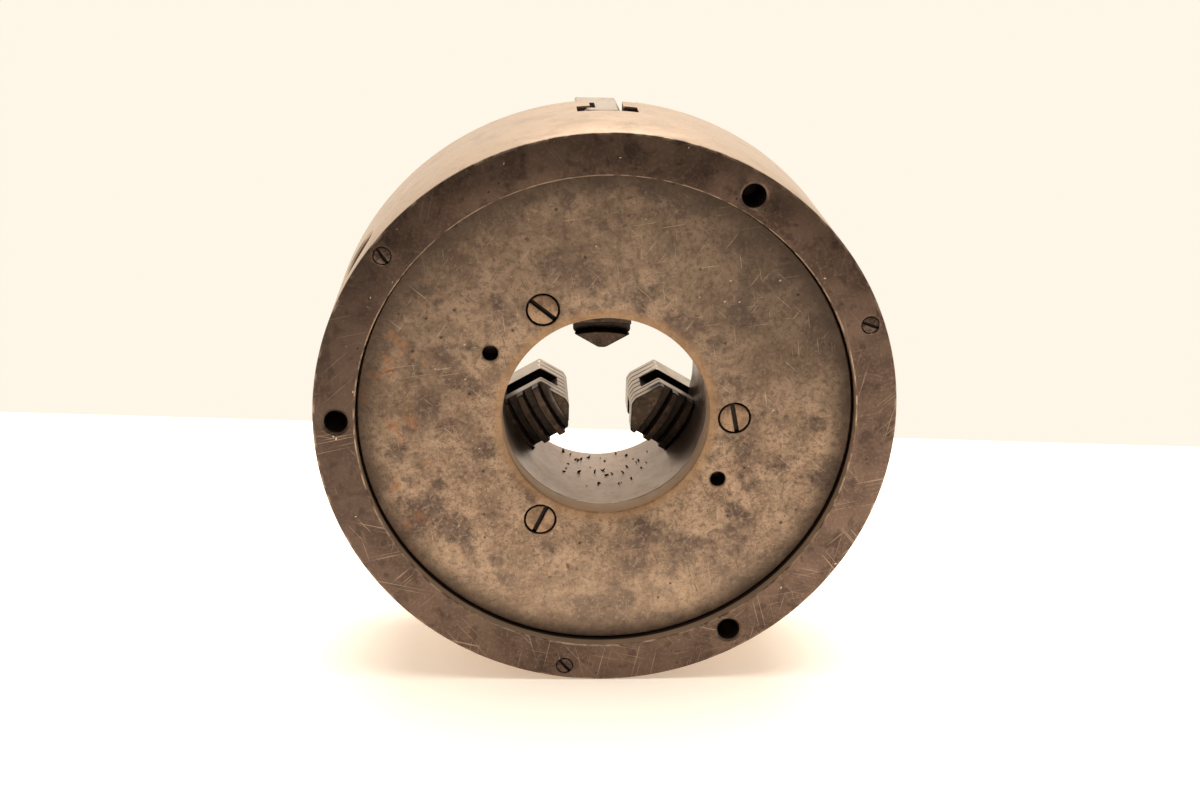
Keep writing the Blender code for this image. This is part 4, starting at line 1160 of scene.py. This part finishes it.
def flank(crest, radius):
    """Points across the jaw on an arc that crosses its centre line at x = crest."""
    reach = JAW_HALF + 2.0
    across = [-reach + 2.0 * reach * i / FLANK_STEPS for i in range(FLANK_STEPS + 1)]
    return [(crest - radius + math.sqrt(radius * radius - y * y), y) for y in across]


def gap_tools(first_tooth):
    """Tools for the gaps behind each tooth; the first tooth runs on into the solid tip."""
    tools = []
    near = first_tooth + TOOTH_WIDTH / 2.0
    while near + PITCH < JAW_END - LAST_TOOTH_MARGIN + TOOTH_WIDTH / 2.0:
        far = near + PITCH - TOOTH_WIDTH
        levels = []
        for depth, wide in ((TOOTH_ROOT, -TOOTH_FILLET), (TOOTH_ROOT - TOOTH_FILLET, 0.0),
                            (TOOTH_CREST + 0.45, 0.0), (TOOTH_CREST - 1.5, 1.6)):
            outline = flank(far + wide, INNER_FLANK) + list(reversed(flank(near - wide, OUTER_FLANK)))
            levels.append((-depth, outline))
        tools.append(lofted(levels))
        near += PITCH
    end = flank(JAW_END + 8.0, TAIL_FLANK) + list(reversed(flank(near, OUTER_FLANK)))
    tools.append(lofted([(-TOOTH_ROOT, end), (-TOOTH_CREST + 2.0, end)]))
    return tools


def first_tooth_radius(degrees):
    """Centre of the innermost scroll groove that leaves enough of a solid tip."""
    ridge = RIDGE_RADII[0] - PITCH * (degrees - RIDGE_OUTER_END) / 360.0
    groove = ridge - PITCH / 2.0
    while groove - PITCH + TOOTH_WIDTH / 2.0 > JAW_TIP + SOLID_TIP:
        groove -= PITCH
    return groove


def groove_tool(side):
    middle = side * (WEB_HALF + JAW_HALF + 2.0) / 2.0
    half = (JAW_HALF + 2.0 - WEB_HALF) / 2.0
    outline = rectangle((JAW_END + 5.0) / 2.0, half, (JAW_END + 5.0) / 2.0, middle)
    return lofted([(-GROOVE[1], outline), (-GROOVE[0], outline)])


def front_tools():
    """Tools for the cross slot and the two tapped holes in a jaw's front."""
    reach = JAW_HALF + 2.0
    slot = rectangle(CROSS_SLOT_HALF, reach, CROSS_SLOT)
    mouth = rectangle(CROSS_SLOT_HALF + CROSS_SLOT_EDGE + OVER, reach, CROSS_SLOT)
    floor_height = -JAW_FRONT + CROSS_SLOT_DEPTH
    tools = [lofted([(floor_height, slot), (-JAW_FRONT + CROSS_SLOT_EDGE, slot), (-JAW_FRONT - OVER, mouth)])]
    bottom, outside = TAPPED_HOLE_ENDS
    wide = TAPPED_HOLE + TAPPED_HOLE_MOUTH
    tapped = turned(at_depths([
        (0.0, bottom), (TAPPED_HOLE, bottom), (TAPPED_HOLE, JAW_FRONT - TAPPED_HOLE_MOUTH), (wide, JAW_FRONT),
        (wide, outside), (0.0, outside),
    ]), 40)
    return tools + [moved(tapped, Matrix.Translation((radius, 0.0, 0.0))) for radius in TAPPED_HOLE_PLACES]


def jaw(number, degrees):
    tools = gap_tools(first_tooth_radius(degrees)) + [groove_tool(-1.0), groove_tool(1.0)] + front_tools()
    foot = [(JAW_END - FOOT_BEVEL, JAW_HALF), (JAW_END, JAW_HALF - FOOT_BEVEL),
            (JAW_END + 5.0, JAW_HALF + 5.0)]
    tools.append(lofted([(-GROOVE[0] - OVER, foot), (-TOOTH_CREST + OVER, foot)]))
    mesh = cut(jaw_blank(), [cleaned(tool) for tool in tools])
    mesh.transform(spoke(degrees))
    name = "jaw_%d" % number
    fitted(name + "_toothed", mesh, jaw_finish(), name, [name])


# Swarf left on the chuck --------------------

def crumb():
    """One small curled chip, kept off the scene and only copied from."""
    bm = bmesh.new()
    bmesh.ops.create_icosphere(bm, subdivisions=1, radius=1.0)
    for i, vert in enumerate(bm.verts):
        vert.co.x *= 1.5 + 0.3 * math.sin(5.0 * i)
        vert.co.y *= 0.6 + 0.2 * math.cos(3.0 * i)
        vert.co.z = vert.co.z * 0.35 + 0.35 * vert.co.x * vert.co.x
    return bpy.data.objects.new("crumb", mesh_of(bm, "crumb"))


def wall_patch(radius, arc, depths, steps=16):
    """Strip of a round wall between two angles and two depths, for crumbs to lie on."""
    bm = bmesh.new()
    start, end = arc
    rows = []
    for i in range(steps + 1):
        angle = math.radians(start + (end - start) * i / steps)
        spot = (radius * math.cos(angle), radius * math.sin(angle))
        rows.append([bm.verts.new((*spot, -depth)) for depth in depths])
    for first, second in zip(rows, rows[1:]):
        bm.faces.new((first[0], second[0], second[1], first[1]))
    return mesh_of(bm, "patch")


def swarf():
    chip = crumb()
    finish = swarf_finish()
    patch = wall_patch(BORE - SWARF_LIFT, SWARF_ARC, SWARF_DEPTHS)
    mesh = grown(swarf_tree(), patch, Crumb=chip, Density=0.020, Least=0.30, Most=1.20, Seed=4, Finish=finish)
    fitted("bore_swarf", mesh, finish, "chuck", [])
    bpy.data.objects.remove(chip, do_unlink=True)


# Studio --------------------

def floor():
    bm = bmesh.new()
    corners = ((-FLOOR_HALF, FLOOR_FRONT), (FLOOR_HALF, FLOOR_FRONT),
               (FLOOR_HALF, FLOOR_BACK[1]), (-FLOOR_HALF, FLOOR_BACK[0]))
    bm.faces.new([bm.verts.new((x, y, cad_low[2])) for x, y in corners])
    mesh = mesh_of(bm, "floor")
    material = bpy.data.materials.new("pale_floor")
    material.use_nodes = True
    shader = material.node_tree.nodes["Principled BSDF"]
    shader.inputs["Base Color"].default_value = (0.95, 0.92, 0.87, 1.0)
    shader.inputs["Roughness"].default_value = 0.75
    # Painted light: the floor glows a little, which lightens the chuck's shadow on it and, by reflection,
    # brightens the lower part of the chuck's back.
    shader.inputs["Emission Color"].default_value = tone(255, 232, 208)
    shader.inputs["Emission Strength"].default_value = 0.35
    mesh.materials.append(material)
    linked(mesh, "floor")


def top_light():
    """A wide soft lamp above the chuck, aimed at its middle."""
    light = bpy.data.lights.new("top_light", "AREA")
    light.shape = "DISK"
    light.size = 1.6
    light.energy = 38.0
    light.color = (1.0, 0.94, 0.86)
    lamp = linked(light, "top_light")
    lamp.location = (0.1, 0.25, 1.35)
    lamp.rotation_euler = (-lamp.location).to_track_quat("-Z", "Y").to_euler()


def studio_world():
    """A plain bright backdrop for the camera, and a room that lights the chuck from the far side."""
    world = bpy.data.worlds.new("studio")
    world.use_nodes = True
    graph = Graph(world.node_tree)
    backdrop = world.node_tree.nodes["Background"]
    backdrop.inputs["Color"].default_value = tone(255, 247, 231)
    place = graph.node("ShaderNodeTexCoord").outputs["Generated"]
    heading = graph.node("ShaderNodeSeparateXYZ", Vector=place).outputs["Y"]
    brightness = graph.node("ShaderNodeMapRange")
    for socket, value in zip(brightness.inputs, (heading, *ROOM_HEADINGS, *ROOM_STRENGTHS)):
        graph.feed(socket, value)
    room = graph.node("ShaderNodeBackground", Color=tone(255, 242, 224), Strength=brightness.outputs[0])
    seen = graph.node("ShaderNodeMixShader")
    to_camera = graph.node("ShaderNodeLightPath").outputs["Is Camera Ray"]
    for socket, value in zip(seen.inputs, (to_camera, room.outputs[0], backdrop.outputs[0])):
        graph.feed(socket, value)
    graph.feed(world.node_tree.nodes["World Output"].inputs["Surface"], seen.outputs[0])
    return world


def camera():
    lens = bpy.data.cameras.new("view")
    lens.lens = LENS
    lens.sensor_width = 36.0
    eye = linked(lens, "view")
    yaw = Matrix.Rotation(math.radians(CAMERA_YAW), 4, "Z")
    pitch = Matrix.Rotation(math.radians(CAMERA_PITCH), 4, "X")
    roll = Matrix.Rotation(math.radians(CAMERA_ROLL), 4, "Y")
    level = Matrix.Rotation(math.radians(90.0), 4, "X")
    eye.matrix_world = Matrix.Translation(CAMERA_PLACE) @ yaw @ pitch @ roll @ level
    bpy.context.scene.camera = eye


REPEAT = repeat_tree()
WOUND = wound_tree()
chuck_body()
cover_plate()
scroll_plate(REPEAT, WOUND)
pinions(REPEAT)
cover_screws(WOUND)
pinion_pins()
dowels()
for jaw_number, jaw_degrees in enumerate(JAW_ANGLES, start=1):
    jaw(jaw_number, jaw_degrees)
swarf()
floor()
bpy.context.scene.view_settings.view_transform = "Standard"
bpy.context.scene.world = studio_world()
top_light()
camera()
